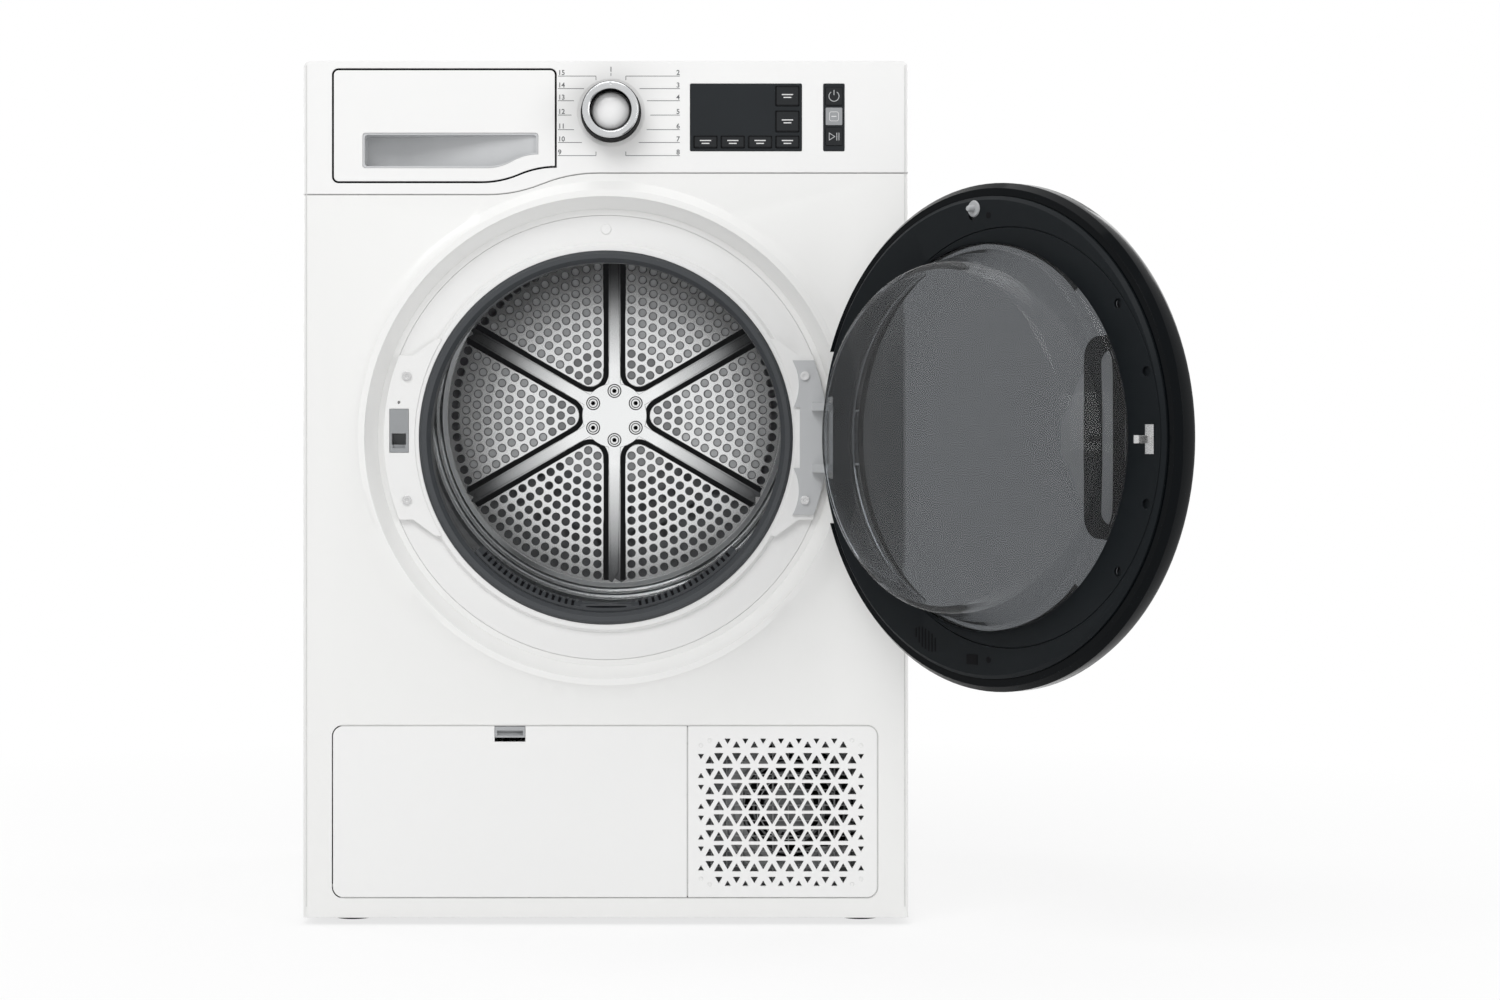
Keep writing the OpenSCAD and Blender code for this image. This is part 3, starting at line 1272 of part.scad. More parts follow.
module door_rim() color("black") swing() difference() {
  turn_y(0, open_z) polygon([[glass_r + 0.3, face_y], [door_r - 7, edge_y - 7], [door_r - 2, edge_y - 3],
    [door_r, edge_y + 2], [door_r, front_y - 3], [door_r - 5, front_y + 3], [frame_r + run, front_y + 3],
    [frame_r + run, front_y], [door_r - 6, front_y], [door_r - 3, front_y - 4], [door_r - 3, edge_y + 3],
    [door_r - 8, edge_y - 3.5], [glass_r + 0.3, face_y + 3.5]]);
  intersection() {
    hinge_notch(notch_l, 206);
    turn_y(0, open_z) polygon([[150, edge_y - 4], [door_r - 5, edge_y - 4], [door_r + 9, edge_y - 8],
      [door_r + 9, front_y + 9], [150, front_y + 9]]);
  }
}

// The D-shaped outline of the handle pocket, grown by g
module handle_outline(g) translate([0, open_z]) intersection() {
  round_rect(handle_x - g, -handle_l / 2 - g, handle_x + handle_w + g, handle_l / 2 + g, 22);
  translate([handle_x - 95 + handle_w, 0]) circle(95 + g);
}

// Outer window, a dark disc with the cut-out of the handle
module door_glass() color("darkslategray") swing() difference() {
  turn_y(0, open_z) polygon([[0, face_y - 2], [130, face_y - 2], [190, face_y - 1], [glass_r, face_y + 0.5],
    [glass_r, face_y + glass_t], [0, face_y + glass_t - 1]]);
  plate_y(face_y - 5, 15) handle_outline(0.2);
}

// Inner frame with its skirt, clip holes, a groove and pockets for the heads of the hinge screws
module door_frame() color("dimgray") swing() difference() {
  turn_y(0, open_z) polygon([[frame_hole_r, frame_y - 3], [frame_hole_r, frame_y - 1],
    [frame_hole_r + 2, frame_y], [frame_r - 3.5, frame_y], [frame_r, frame_y - 3],
    [frame_r, front_y + 0.5], [glass_r - 0.2, front_y + 0.5],
    [glass_r - 0.2, face_y + glass_t], [glass_r - 3.2, face_y + glass_t], [glass_r - 3.2, frame_y - 3]]);
  for (s = [-1, 1], q = [[16, 208], [35, 204], [93.5, 204]])
    bar_y(-q[1] * cos(q[0]), open_z + s * q[1] * sin(q[0]), frame_y - 3.1, frame_y + 1, 4.4);
  turn_y(-26, open_z) polygon([[190, frame_y + 0.2], [190.8, frame_y - 1], [191.6, frame_y + 0.2]]);
  for (z = screw_zs) bar_y(screw_x, z, land_y - 2.5 - head_h - 0.5, frame_y + 1, head_r + 1.8);
  hinge_notch(80, 201.5);
  // room for the root of the hinge leaf
  box([196, edge_y, open_z - knuckle_h / 2 - 2], [206, frame_y - 3, open_z + knuckle_h / 2 + 2]);
  // slot of the striker's foot
  box([striker_x - 5, frame_y - 1.5, striker_z - 13], [striker_x + 5, frame_y + 1, striker_z + 13]);
}

// Clear bowl that fills the mouth when the door is shut
module door_bowl() color([0.35, 0.38, 0.42, 0.55]) swing() {
  y0 = frame_y - 3 - bowl_t;
  tip = frame_y + bowl_d;
  base_r = frame_hole_r - 1;
  neck_r = mouth_r - 2.5;
  turn_y(0, open_z) polygon([[base_r - 6, y0], [base_r + 7, y0], [base_r + 7, y0 + bowl_t - 0.2],
    [base_r, y0 + bowl_t - 0.2], [neck_r, seal_y], [bowl_tip_r + 2, tip - 9], [bowl_tip_r - 2, tip - 3],
    [bowl_tip_r - 10, tip], [0, tip], [0, tip - bowl_t], [bowl_tip_r - 12, tip - bowl_t],
    [bowl_tip_r - 5, tip - 5], [bowl_tip_r - 2, tip - 11], [neck_r - bowl_t, seal_y]]);
}

// Handle pocket behind the outer window
module door_handle() color("black") swing() difference() {
  union() {
    plate_y(face_y - 1, 26) handle_outline(0);
    plate_y(face_y + glass_t + 0.2, 2) handle_outline(5);
  }
  plate_y(face_y - 2, 24.5) handle_outline(-2.5);
}

// The door's half of the hinge: a cranked leaf rolled round the pin
module hinge_leaf() color("silver") swing() difference() {
  translate([0, 0, open_z - knuckle_h / 2]) linear_extrude(knuckle_h) {
    translate([hinge_x, hinge_y]) circle(knuckle_r);
    polygon([[hinge_x, hinge_y - knuckle_r], [hinge_x, hinge_y + 1], [213, hinge_y + 5], [209, front_y + 4.8],
      [187, front_y + 4.8], [187, front_y + 1.8], [205, front_y + 1.8], [209, hinge_y + 2],
      [hinge_x - 5, hinge_y - knuckle_r]]);
  }
  translate([hinge_x, hinge_y, open_z - knuckle_h / 2 - 1])
    cylinder(h = knuckle_h + 2, r = hinge_pin_r + play);
}

// Striker: a foot on the frame and a hooked tongue
module striker() color("silver") swing() {
  box([striker_x - 4.8, frame_y - 1.3, striker_z - 12.8], [striker_x + 4.8, frame_y + 0.7, striker_z + 12.8]);
  box([striker_x - 1.5, frame_y, striker_z - 3.5], [striker_x + 1.5, frame_y + 16, striker_z + 3.5]);
  box([striker_x - 1.5, frame_y + 12, striker_z - 3.5], [striker_x + 4, frame_y + 16, striker_z + 3.5]);
}

side_panel_left();
side_panel_right();
worktop();
front_panel();
control_fascia();
front_bulkhead();
loading_ring();
filter_housing();
rear_panel();
rear_duct_cover();
base_tray();
levelling_feet();
vent_grille();
heat_exchangers();
compressor();
drive_motor();
drive_belt();
tank_housing();
display_unit();
latch_housing();
hinge_plate();
front_screws();
mains_inlet();
condensate_pump();
drum_shell();
drum_back();
drum_lifters();
hub_bolts();
motor_rotor();
process_impeller();
idler_pulley();
support_roller_left();
support_roller_right();
cooling_fan();
knob_base();
knob_ring();
knob_cap();
color("black") key(OPTION_KEYS[0]);  // option_key_1
color("black") key(OPTION_KEYS[1]);  // option_key_2
color("black") key(OPTION_KEYS[2]);  // option_key_3
color("black") key(OPTION_KEYS[3]);  // option_key_4
color("black") key(OPTION_KEYS[4]);  // option_key_5
color("black") key(OPTION_KEYS[5]);  // option_key_6
color("black") key(STRIP_KEYS[0]);  // power_key
color("silver") key(STRIP_KEYS[1]);  // mode_key
color("black") key(STRIP_KEYS[2]);  // start_key
tank_front();
tank_grip();
tank_body();
lint_filter();
filter_mesh();
flap();
flap_catch();
door_rim();
door_glass();
door_frame();
door_bowl();
door_handle();
hinge_leaf();
striker();
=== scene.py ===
"""Finishes, fine details and studio for the front-loading clothes dryer."""

import json
import logging
import math
from dataclasses import dataclass, field
from enum import Enum
from typing import Iterable, Optional, Sequence

import bmesh
import bpy
from mathutils import Matrix, Vector

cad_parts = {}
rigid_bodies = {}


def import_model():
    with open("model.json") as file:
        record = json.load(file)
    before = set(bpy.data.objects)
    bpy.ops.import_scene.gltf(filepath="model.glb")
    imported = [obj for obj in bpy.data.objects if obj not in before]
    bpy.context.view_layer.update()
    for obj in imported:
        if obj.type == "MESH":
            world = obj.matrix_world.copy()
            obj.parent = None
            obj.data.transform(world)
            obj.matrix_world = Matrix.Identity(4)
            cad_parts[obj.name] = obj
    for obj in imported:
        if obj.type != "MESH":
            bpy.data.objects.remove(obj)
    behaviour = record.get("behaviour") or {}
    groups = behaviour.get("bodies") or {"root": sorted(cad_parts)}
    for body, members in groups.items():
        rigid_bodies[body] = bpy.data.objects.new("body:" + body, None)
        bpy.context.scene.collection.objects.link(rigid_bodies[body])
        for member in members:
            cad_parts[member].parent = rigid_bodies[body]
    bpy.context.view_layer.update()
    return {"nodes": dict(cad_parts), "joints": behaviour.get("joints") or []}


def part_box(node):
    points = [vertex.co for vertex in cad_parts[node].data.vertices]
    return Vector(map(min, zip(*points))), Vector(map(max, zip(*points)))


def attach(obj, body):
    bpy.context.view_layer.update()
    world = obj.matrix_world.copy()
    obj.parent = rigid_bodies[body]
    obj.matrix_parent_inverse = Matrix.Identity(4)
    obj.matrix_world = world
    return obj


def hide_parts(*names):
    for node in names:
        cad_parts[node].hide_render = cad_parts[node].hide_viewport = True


LOG = logging.getLogger("dryer")
BMesh = bmesh.types.BMesh
Socket = bpy.types.NodeSocket
Colour = tuple[float, float, float]
Point = tuple[float, float]
Box = tuple[float, float, float, float]

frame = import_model()

# Places that several assemblies share, in metres: the front faces' Y and three axes.
FRONT = -0.305
OPENING_CENTRE = (0.0, 0.0, 0.4785)
DRUM_CENTRE = (0.0, 0.0, 0.504)
KNOB_CENTRE = (0.0052, 0.0, 0.7976)

# Edges over these angles, in degrees, stay sharp on copied nodes and on pieces made here.
NODE_ANGLE = 28.0
PIECE_ANGLE = 35.0

# Points closer than these distances, in metres, are merged in copied nodes and in turned shapes.
NODE_MERGE = 2e-6
LATHE_MERGE = 1e-6


class Body(str, Enum):
    """The moving bodies that pieces ride on."""

    CABINET = "cabinet"
    DRUM = "drum"
    KNOB = "knob"
    TANK = "tank"
    FILTER = "filter"
    FLAP = "service_flap"
    DOOR = "door"
    POWER = "power"
    MODE = "mode"
    START = "start"
    OPTION_1 = "option_1"
    OPTION_2 = "option_2"
    OPTION_3 = "option_3"
    OPTION_4 = "option_4"
    OPTION_5 = "option_5"
    OPTION_6 = "option_6"


class Turn(Enum):
    """The way in which a metal surface was brushed or turned."""

    ALONG_X = "along x"
    ALONG_Z = "along z"
    ROUND_Y = "round y"


# --------------------------------------------------------------- node trees


class NodeTree:
    """Short ways to add nodes, links and arithmetic to a node tree."""

    def __init__(self, tree: bpy.types.NodeTree) -> None:
        """Takes over a tree and empties it.

        Args:
            tree: The tree.
        """
        self.nodes = tree.nodes
        self.links = tree.links
        self.nodes.clear()

    def feed(self, socket: Socket, value: object) -> None:
        """Links an input or sets its constant.

        Args:
            socket: The input.
            value: A socket or a constant.
        """
        if isinstance(value, Socket):
            self.links.new(value, socket)
        else:
            socket.default_value = value

    def node(self, kind: str, **inputs: object) -> bpy.types.Node:
        """Adds a node and sets or links its inputs.

        Args:
            kind: The node's type.
            **inputs: Input names with underscores for spaces; values or sockets.

        Returns:
            The node.
        """
        node = self.nodes.new(kind)
        for key, value in inputs.items():
            self.feed(node.inputs[key.replace("_", " ")], value)
        return node

    def out(self, kind: str, **inputs: object) -> Socket:
        """Adds a node as node() does and returns its first output."""
        return self.node(kind, **inputs).outputs[0]

    def math(self, operation: str, *values: object) -> Socket:
        """Adds one step of arithmetic.

        Args:
            operation: Name of the Math node's operation.
            *values: Sockets or numbers.

        Returns:
            The socket with the result.
        """
        node = self.nodes.new("ShaderNodeMath")
        node.operation = operation
        for socket, value in zip(node.inputs, values):
            self.feed(socket, value)
        return node.outputs[0]

    def plus(self, a: object, b: object) -> Socket:
        """Returns a plus b."""
        return self.math("ADD", a, b)

    def minus(self, a: object, b: object) -> Socket:
        """Returns a minus b."""
        return self.math("SUBTRACT", a, b)

    def times(self, a: object, b: object) -> Socket:
        """Returns a times b."""
        return self.math("MULTIPLY", a, b)

    def over(self, a: object, b: object) -> Socket:
        """Returns a divided by b."""
        return self.math("DIVIDE", a, b)

    def vector(self, x: object, y: object, z: object) -> Socket:
        """Joins three numbers or sockets into a vector."""
        return self.out("ShaderNodeCombineXYZ", X=x, Y=y, Z=z)

    def length(self, vector: Socket) -> Socket:
        """Measures how far a point lies from zero.

        Args:
            vector: The point.

        Returns:
            The socket with the distance.
        """
        node = self.nodes.new("ShaderNodeVectorMath")
        node.operation = "LENGTH"
        self.links.new(vector, node.inputs[0])
        return node.outputs["Value"]


# --------------------------------------------------------------- finishes


class ShaderTree(NodeTree):
    """One material's node tree, with the few kinds of node that the finishes share."""

    EDGE_SAMPLES = 4

    def __init__(self, name: str) -> None:
        """Starts a material with one principled shader.

        Args:
            name: The material's name.
        """
        self.material = bpy.data.materials.new(name)
        self.material.use_nodes = True
        super().__init__(self.material.node_tree)
        self.shader = self.node("ShaderNodeBsdfPrincipled")
        self.node("ShaderNodeOutputMaterial", Surface=self.shader.outputs["BSDF"])
        self.object_coords = self.node("ShaderNodeTexCoord").outputs["Object"]

    def set(self, **values: float) -> None:
        """Sets constants on the shader's own sockets, named with underscores for spaces."""
        for key, value in values.items():
            self.shader.inputs[key.replace("_", " ")].default_value = value

    def drive(self, socket: str, value: Socket) -> None:
        """Feeds the shader's socket of that name from a texture."""
        self.links.new(value, self.shader.inputs[socket])

    def mapped(self, scale: Sequence[float] = (1, 1, 1), centre: Sequence[float] = (0, 0, 0)) -> Socket:
        """Scales Object coordinates about a centre.

        Args:
            scale: Factor along each axis.
            centre: The point that becomes zero, in metres.

        Returns:
            The socket with the mapped position.
        """
        move = self.nodes.new("ShaderNodeVectorMath")
        move.operation = "SUBTRACT"
        move.inputs[1].default_value = centre
        self.links.new(self.object_coords, move.inputs[0])
        return self.node("ShaderNodeMapping", Vector=move.outputs[0], Scale=scale).outputs["Vector"]

    def noise(self, vector: Socket, scale: float, detail: float = 3.0, roughness: float = 0.5) -> Socket:
        """Adds a noise texture; scale is a frequency, detail the number of octaves."""
        return self.out("ShaderNodeTexNoise", Vector=vector, Scale=scale, Detail=detail, Roughness=roughness)

    def tint(self, factor: Socket, *stops: tuple[float, Colour]) -> None:
        """Colours the shader along a ramp of two stops.

        Args:
            factor: The socket that runs from 0 to 1.
            *stops: Position and colour of each stop.
        """
        node = self.nodes.new("ShaderNodeValToRGB")
        for element, (position, colour) in zip(node.color_ramp.elements, stops):
            element.position = position
            element.color = (*colour, 1.0)
        self.links.new(factor, node.inputs[0])
        self.drive("Base Color", node.outputs["Color"])

    def dull(self, factor: Socket, low: float, high: float) -> None:
        """Spreads the shader's roughness from low to high along a factor that runs from 0 to 1."""
        node = self.node("ShaderNodeMapRange", Value=factor, To_Min=low, To_Max=high)
        self.drive("Roughness", node.outputs["Result"])

    def relief(self, height: Socket, depth: float, strength: float = 1.0, radius: float = 0.0) -> None:
        """Adds bump, over a softened edge normal if a radius is given.

        Args:
            height: The socket with heights from 0 to 1.
            depth: Height of the full relief, in metres.
            strength: Weight of the bump.
            radius: Radius by which sharp edges look rounded, in metres.
        """
        bump = self.node("ShaderNodeBump", Height=height, Distance=depth, Strength=strength)
        if radius > 0:
            soft = self.node("ShaderNodeBevel", Radius=radius)
            soft.samples = self.EDGE_SAMPLES
            self.links.new(soft.outputs[0], bump.inputs["Normal"])
        self.drive("Normal", bump.outputs[0])


@dataclass(frozen=True)
class Finish:
    """A named finish with its main colour; each kind of finish lays its own nodes."""

    name: str
    colour: Colour

    def shaded(self, factor: float) -> Colour:
        """Returns the colour, darkened by a factor below 1."""
        return tuple(part * factor for part in self.colour)

    def lay(self, tree: ShaderTree) -> None:
        """Lays the finish's nodes into a material's tree."""
        raise NotImplementedError(self.name)

    def build(self) -> bpy.types.Material:
        """Makes the material.

        Returns:
            The finished material.
        """
        tree = ShaderTree(self.name)
        self.lay(tree)
        return tree.material


@dataclass(frozen=True)
class Enamel(Finish):
    """Stove enamel or painted plastic: a smooth coat with faint orange peel and faint soiling."""

    roughness: float = 0.32
    spread: float = 0.02
    peel: float = 0.000012
    variation: float = 0.995
    coat: float = 0.25
    edge: float = 0.0006
    specular: float = 0.5

    def lay(self, tree: ShaderTree) -> None:
        """Lays soiling, haze and orange peel.

        Args:
            tree: The material's tree.
        """
        space = tree.mapped()
        soil = tree.noise(space, scale=5.0, detail=4.0, roughness=0.6)
        tree.tint(soil, (0.3, self.shaded(self.variation)), (0.7, self.colour))
        tree.dull(tree.noise(space, scale=38.0), self.roughness - self.spread, self.roughness + self.spread)
        tree.set(Coat_Weight=self.coat, Coat_Roughness=0.12, Specular_IOR_Level=self.specular)
        bumps = tree.noise(space, scale=420.0, detail=1.5)
        tree.relief(bumps, self.peel, strength=0.35, radius=self.edge)


@dataclass(frozen=True)
class Moulded(Finish):
    """Moulded plastic with a fine spark-eroded grain and slight mottling."""

    roughness: float = 0.5
    grain: float = 0.00004
    pitch: float = 900.0
    mottle: float = 0.9
    edge: float = 0.0005
    specular: float = 0.5

    def lay(self, tree: ShaderTree) -> None:
        """Lays mottling, haze and grain.

        Args:
            tree: The material's tree.
        """
        space = tree.mapped()
        cloud = tree.noise(space, scale=14.0, detail=4.0, roughness=0.6)
        tree.tint(cloud, (0.25, self.shaded(self.mottle)), (0.75, self.colour))
        haze = tree.noise(space, scale=120.0, detail=2.0)
        tree.dull(haze, self.roughness - 0.07, self.roughness + 0.08)
        tree.set(Specular_IOR_Level=self.specular)
        tree.relief(tree.noise(space, self.pitch, detail=2.0), self.grain, strength=0.6, radius=self.edge)


@dataclass(frozen=True)
class Metal(Finish):
    """Sheet or turned metal with brush lines; it may take a painted shade that darkens it towards a rim round
    its centre.
    """

    roughness: float = 0.34
    turn: Turn = Turn.ALONG_X
    centre: tuple[float, float, float] = (0.0, 0.0, 0.0)
    scratch: float = 0.00003
    # Colour of the painted shade at the far radius, standing in for the dark drum reflected in polished
    # steel.
    rim_colour: Optional[Colour] = None
    near: float = 0.055
    far: float = 0.165
    across: float = 900.0
    along: float = 8.0
    grooves: float = 700.0

    def lay(self, tree: ShaderTree) -> None:
        """Lays the brush lines and blotches, and the painted shade towards the rim.

        Args:
            tree: The material's tree.
        """
        if self.turn is Turn.ALONG_X:
            lines = tree.mapped((self.along, self.across, self.across))
        elif self.turn is Turn.ALONG_Z:
            lines = tree.mapped((self.across, self.across, self.along))
        else:
            reach = tree.length(tree.mapped((1, 0, 1), self.centre))
            lines = tree.vector(tree.times(reach, self.grooves), 0.0, 0.0)
        brush = tree.noise(lines, scale=1.0, detail=3.0, roughness=0.7)
        blotch = tree.noise(tree.mapped(), scale=9.0)
        mixed = tree.plus(tree.times(brush, 0.5), tree.times(blotch, 0.5))
        # Painted shade: the colour darkens from the near radius to the far one.
        if self.rim_colour:
            place = tree.over(tree.minus(reach, self.near), self.far - self.near)
            tree.tint(place, (0.0, self.colour), (1.0, self.rim_colour))
        else:
            tree.tint(mixed, (0.3, self.shaded(0.86)), (0.7, self.colour))
        tree.dull(mixed, self.roughness - 0.08, self.roughness + 0.12)
        tree.set(Metallic=1.0)
        tree.relief(brush, self.scratch, strength=0.5, radius=0.0006)


@dataclass(frozen=True)
class Galvanised(Finish):
    """Zinc-coated sheet with the patchy crystals of hot dipping."""

    roughness: float = 0.42
    crystals: float = 60.0

    def lay(self, tree: ShaderTree) -> None:
        """Lays the crystals, each with its own tone, gloss and height.

        Args:
            tree: The material's tree.
        """
        cells = tree.node("ShaderNodeTexVoronoi", Vector=tree.mapped(), Scale=self.crystals)
        tone = tree.out("ShaderNodeRGBToBW", Color=cells.outputs["Color"])
        tree.tint(tone, (0.2, self.shaded(0.82)), (0.8, self.colour))
        tree.dull(tone, self.roughness - 0.06, self.roughness + 0.1)
        tree.set(Metallic=1.0)
        tree.relief(tone, 0.00001, strength=0.5, radius=0.0006)


@dataclass(frozen=True)
class Smoked(Finish):
    """Clear or smoked moulding that light passes through, with faint clouds in its tint."""

    ior: float = 1.2
    clear: float = 1.0

    def lay(self, tree: ShaderTree) -> None:
        """Lays the clouds and lets the light through.

        Args:
            tree: The material's tree.
        """
        flow = tree.noise(tree.mapped(), scale=7.0, detail=2.0)
        tree.tint(flow, (0.3, self.shaded(0.985)), (0.7, self.colour))
        tree.set(Transmission_Weight=self.clear, IOR=self.ior, Roughness=0.0)


@dataclass(frozen=True)
class Woven(Finish):
    """Fine woven mesh of the lint filter, from two crossed waves."""

    pitch: float = 1400.0

    def lay(self, tree: ShaderTree) -> None:
        """Lays the crossed threads.

        Args:
            tree: The material's tree.
        """
        threads = []
        for axis in ("X", "Z"):
            wave = tree.node("ShaderNodeTexWave", Vector=tree.mapped(), Scale=self.pitch / 6)
            wave.wave_type = "BANDS"
            wave.bands_direction = axis
            threads.append(wave.outputs["Fac"])
        weave = tree.times(*threads)
        tree.tint(weave, (0.1, self.shaded(0.35)), (0.8, self.colour))
        tree.dull(weave, 0.85, 0.6)
        tree.relief(weave, 0.00008, strength=0.8)


@dataclass(frozen=True)
class Ink(Finish):
    """Printed marking ink with a slightly uneven tone."""

    def lay(self, tree: ShaderTree) -> None:
        """Lays the specks of the print.

        Args:
            tree: The material's tree.
        """
        speck = tree.noise(tree.mapped(), scale=1500.0, detail=2.0)
        tree.tint(speck, (0.3, self.shaded(0.9)), (0.7, self.colour))
        tree.dull(speck, 0.4, 0.55)


class Palette:
    """Builds each finish once and hands it out by name."""

    def __init__(self, finishes: Iterable[Finish]) -> None:
        """Keeps the finishes until they are asked for."""
        self._finishes = {finish.name: finish for finish in finishes}
        self._made: dict[str, bpy.types.Material] = {}

    def __getitem__(self, name: str) -> bpy.types.Material:
        """Hands out a material, built on first use.

        Args:
            name: The finish's name.

        Returns:
            The material.
        """
        if name not in self._made:
            self._made[name] = self._finishes[name].build()
        return self._made[name]


STEEL = (0.90, 0.91, 0.91)

PALETTE = Palette([
    Enamel("white_enamel", (0.83, 0.83, 0.82)),
    Enamel("white_panel", (0.84, 0.84, 0.835), peel=0.000006, coat=0.1),
    Enamel("button_white", (0.88, 0.88, 0.88), roughness=0.25, coat=0.3),
    # A little darker than the front's white: partly the bulkhead plastic's own tone, partly painted shade in
    # the recess.
    Enamel("white_inner", (0.80, 0.80, 0.795), roughness=0.36, coat=0.15),
    Enamel("worktop_white", (0.80, 0.80, 0.79), roughness=0.42, peel=0.00004, coat=0.0),
    Enamel("hinge_grey", (0.50, 0.51, 0.52), roughness=0.34, peel=0.00003),
    Enamel("black_gloss", (0.003, 0.004, 0.005), roughness=0.12, peel=0.000004, variation=0.8, coat=0.0,
           specular=0.06),
    Enamel("key_black", (0.014, 0.016, 0.018), roughness=0.2, peel=0.000008, variation=0.8, coat=0.0,
           edge=0.0003, specular=0.25),
    Enamel("display_black", (0.016, 0.019, 0.022), roughness=0.12, peel=0.000004, variation=0.8, coat=0.0,
           specular=0.2),
    Enamel("motor_enamel", (0.10, 0.105, 0.11), roughness=0.45),
    Enamel("compressor_black", (0.012, 0.012, 0.012), roughness=0.3),
    Moulded("door_grey", (0.009, 0.0112, 0.013), roughness=0.42, grain=0.00002, specular=0.08),
    Moulded("ring_grey", (0.036, 0.040, 0.045)),
    Moulded("filter_grey", (0.060, 0.065, 0.071)),
    Moulded("base_grey", (0.24, 0.245, 0.25), roughness=0.6),
    Moulded("black_moulding", (0.010, 0.010, 0.011), roughness=0.45),
    Moulded("fan_grey", (0.045, 0.046, 0.048)),
    Moulded("guard_grey", (0.55, 0.555, 0.56)),
    Moulded("shroud_grey", (0.45, 0.455, 0.46)),
    Moulded("seam_grey", (0.70, 0.70, 0.69), specular=0.2),
    Moulded("handle_back", (0.27, 0.275, 0.28), roughness=0.35, specular=0.15),
    Moulded("light_grey", (0.40, 0.41, 0.42), roughness=0.36),
    Moulded("mode_grey", (0.30, 0.31, 0.32), roughness=0.36),
    Moulded("grip_grey", (0.56, 0.57, 0.58), roughness=0.34),
    Moulded("latch_grey", (0.30, 0.31, 0.32), roughness=0.42),
    Moulded("peg_grey", (0.42, 0.43, 0.44), roughness=0.4),
    Moulded("tank_milky", (0.62, 0.64, 0.66), roughness=0.35),
    Moulded("lifter_grey", (0.36, 0.37, 0.38), roughness=0.4),
    Moulded("rubber_black", (0.010, 0.010, 0.011), roughness=0.75, grain=0.00008),
    Moulded("pocket_dark", (0.004, 0.004, 0.005), roughness=0.7, specular=0.1),
    # Painted shade: a near-black strip for the shadow in the drum's sector creases.
    Moulded("crease_dark", (0.040, 0.042, 0.045), roughness=0.55, specular=0.3),
    Metal("drum_steel", STEEL, roughness=0.17, turn=Turn.ROUND_Y, centre=DRUM_CENTRE),
    # Spoke steel with painted shade: darker towards the rim, standing in for the dark drum reflected in it.
    Metal("spoke_steel", STEEL, roughness=0.17, turn=Turn.ROUND_Y, centre=DRUM_CENTRE,
          rim_colour=(0.22, 0.225, 0.23)),
    Metal("shell_steel", (0.45, 0.46, 0.47), roughness=0.30, turn=Turn.ROUND_Y, centre=DRUM_CENTRE),
    Metal("duct_steel", (0.62, 0.63, 0.64), roughness=0.3),
    Metal("boss_steel", (0.30, 0.305, 0.31), roughness=0.3),
    # The hole rims are the drum's steel made darker: painted shade round each hole.
    Metal("rim_steel", (0.25, 0.255, 0.26), roughness=0.35),
    Metal("bright_steel", (0.66, 0.66, 0.66), roughness=0.25, scratch=0.00001),
    Metal("satin_ring", (0.62, 0.63, 0.64), roughness=0.2, turn=Turn.ROUND_Y, centre=KNOB_CENTRE,
          scratch=0.00001),
    Metal("fin_aluminium", (0.70, 0.71, 0.72), roughness=0.45, turn=Turn.ALONG_Z),
    Galvanised("zinc_sheet", (0.56, 0.58, 0.60)),
    Smoked("smoked_bowl", (0.62, 0.63, 0.64), ior=1.13, clear=0.97),
    Smoked("tinted_window", (0.155, 0.162, 0.170), ior=1.1),
    Woven("filter_cloth", (0.30, 0.31, 0.33)),
    Ink("print_grey", (0.13, 0.135, 0.14)),
    Ink("print_pale", (0.48, 0.49, 0.50)),
    Ink("print_white", (0.75, 0.75, 0.75)),
])


# ------------------------------------------------------------ mesh helpers


def new_piece(name: str, mesh: bpy.types.Mesh, body: Body, finish: Optional[str] = None) -> bpy.types.Object:
    """Links a mesh into the scene at the origin, as a piece that rides on a body.

    Args:
        name: The piece's name.
        mesh: Its mesh, already in place.
        body: The body that it rides on.
        finish: Name of its finish, or nothing where the mesh has its own.

    Returns:
        The piece.
    """
    mesh.name = name
    piece = bpy.data.objects.new(name, mesh)
    bpy.context.scene.collection.objects.link(piece)
    if finish:
        mesh.materials.clear()
        mesh.materials.append(PALETTE[finish])
    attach(piece, body.value)
    return piece


def realised(host: bpy.types.Object) -> bpy.types.Mesh:
    """Turns a text or a patterned object into a plain mesh.

    Args:
        host: The object, removed here.

    Returns:
        The mesh.
    """
    bpy.context.scene.collection.objects.link(host)
    depsgraph = bpy.context.evaluated_depsgraph_get()
    mesh = bpy.data.meshes.new_from_object(host.evaluated_get(depsgraph), depsgraph=depsgraph)
    bpy.data.objects.remove(host)
    return mesh


def smooth_by_angle(bm: BMesh, angle: float) -> None:
    """Shades a mesh smooth but keeps edges over an angle sharp.

    Args:
        bm: The mesh.
        angle: Limit in degrees.
    """
    limit = math.radians(angle)
    for face in bm.faces:
        face.smooth = True
    for edge in bm.edges:
        edge.smooth = edge.is_manifold and edge.calc_face_angle(0.0) < limit


def plain_mesh(bm: BMesh, name: str) -> bpy.types.Mesh:
    """Turns a bmesh, freed here, into a mesh.

    Args:
        bm: The source.
        name: The mesh's name.

    Returns:
        The mesh.
    """
    mesh = bpy.data.meshes.new(name)
    bm.to_mesh(mesh)
    bm.free()
    return mesh


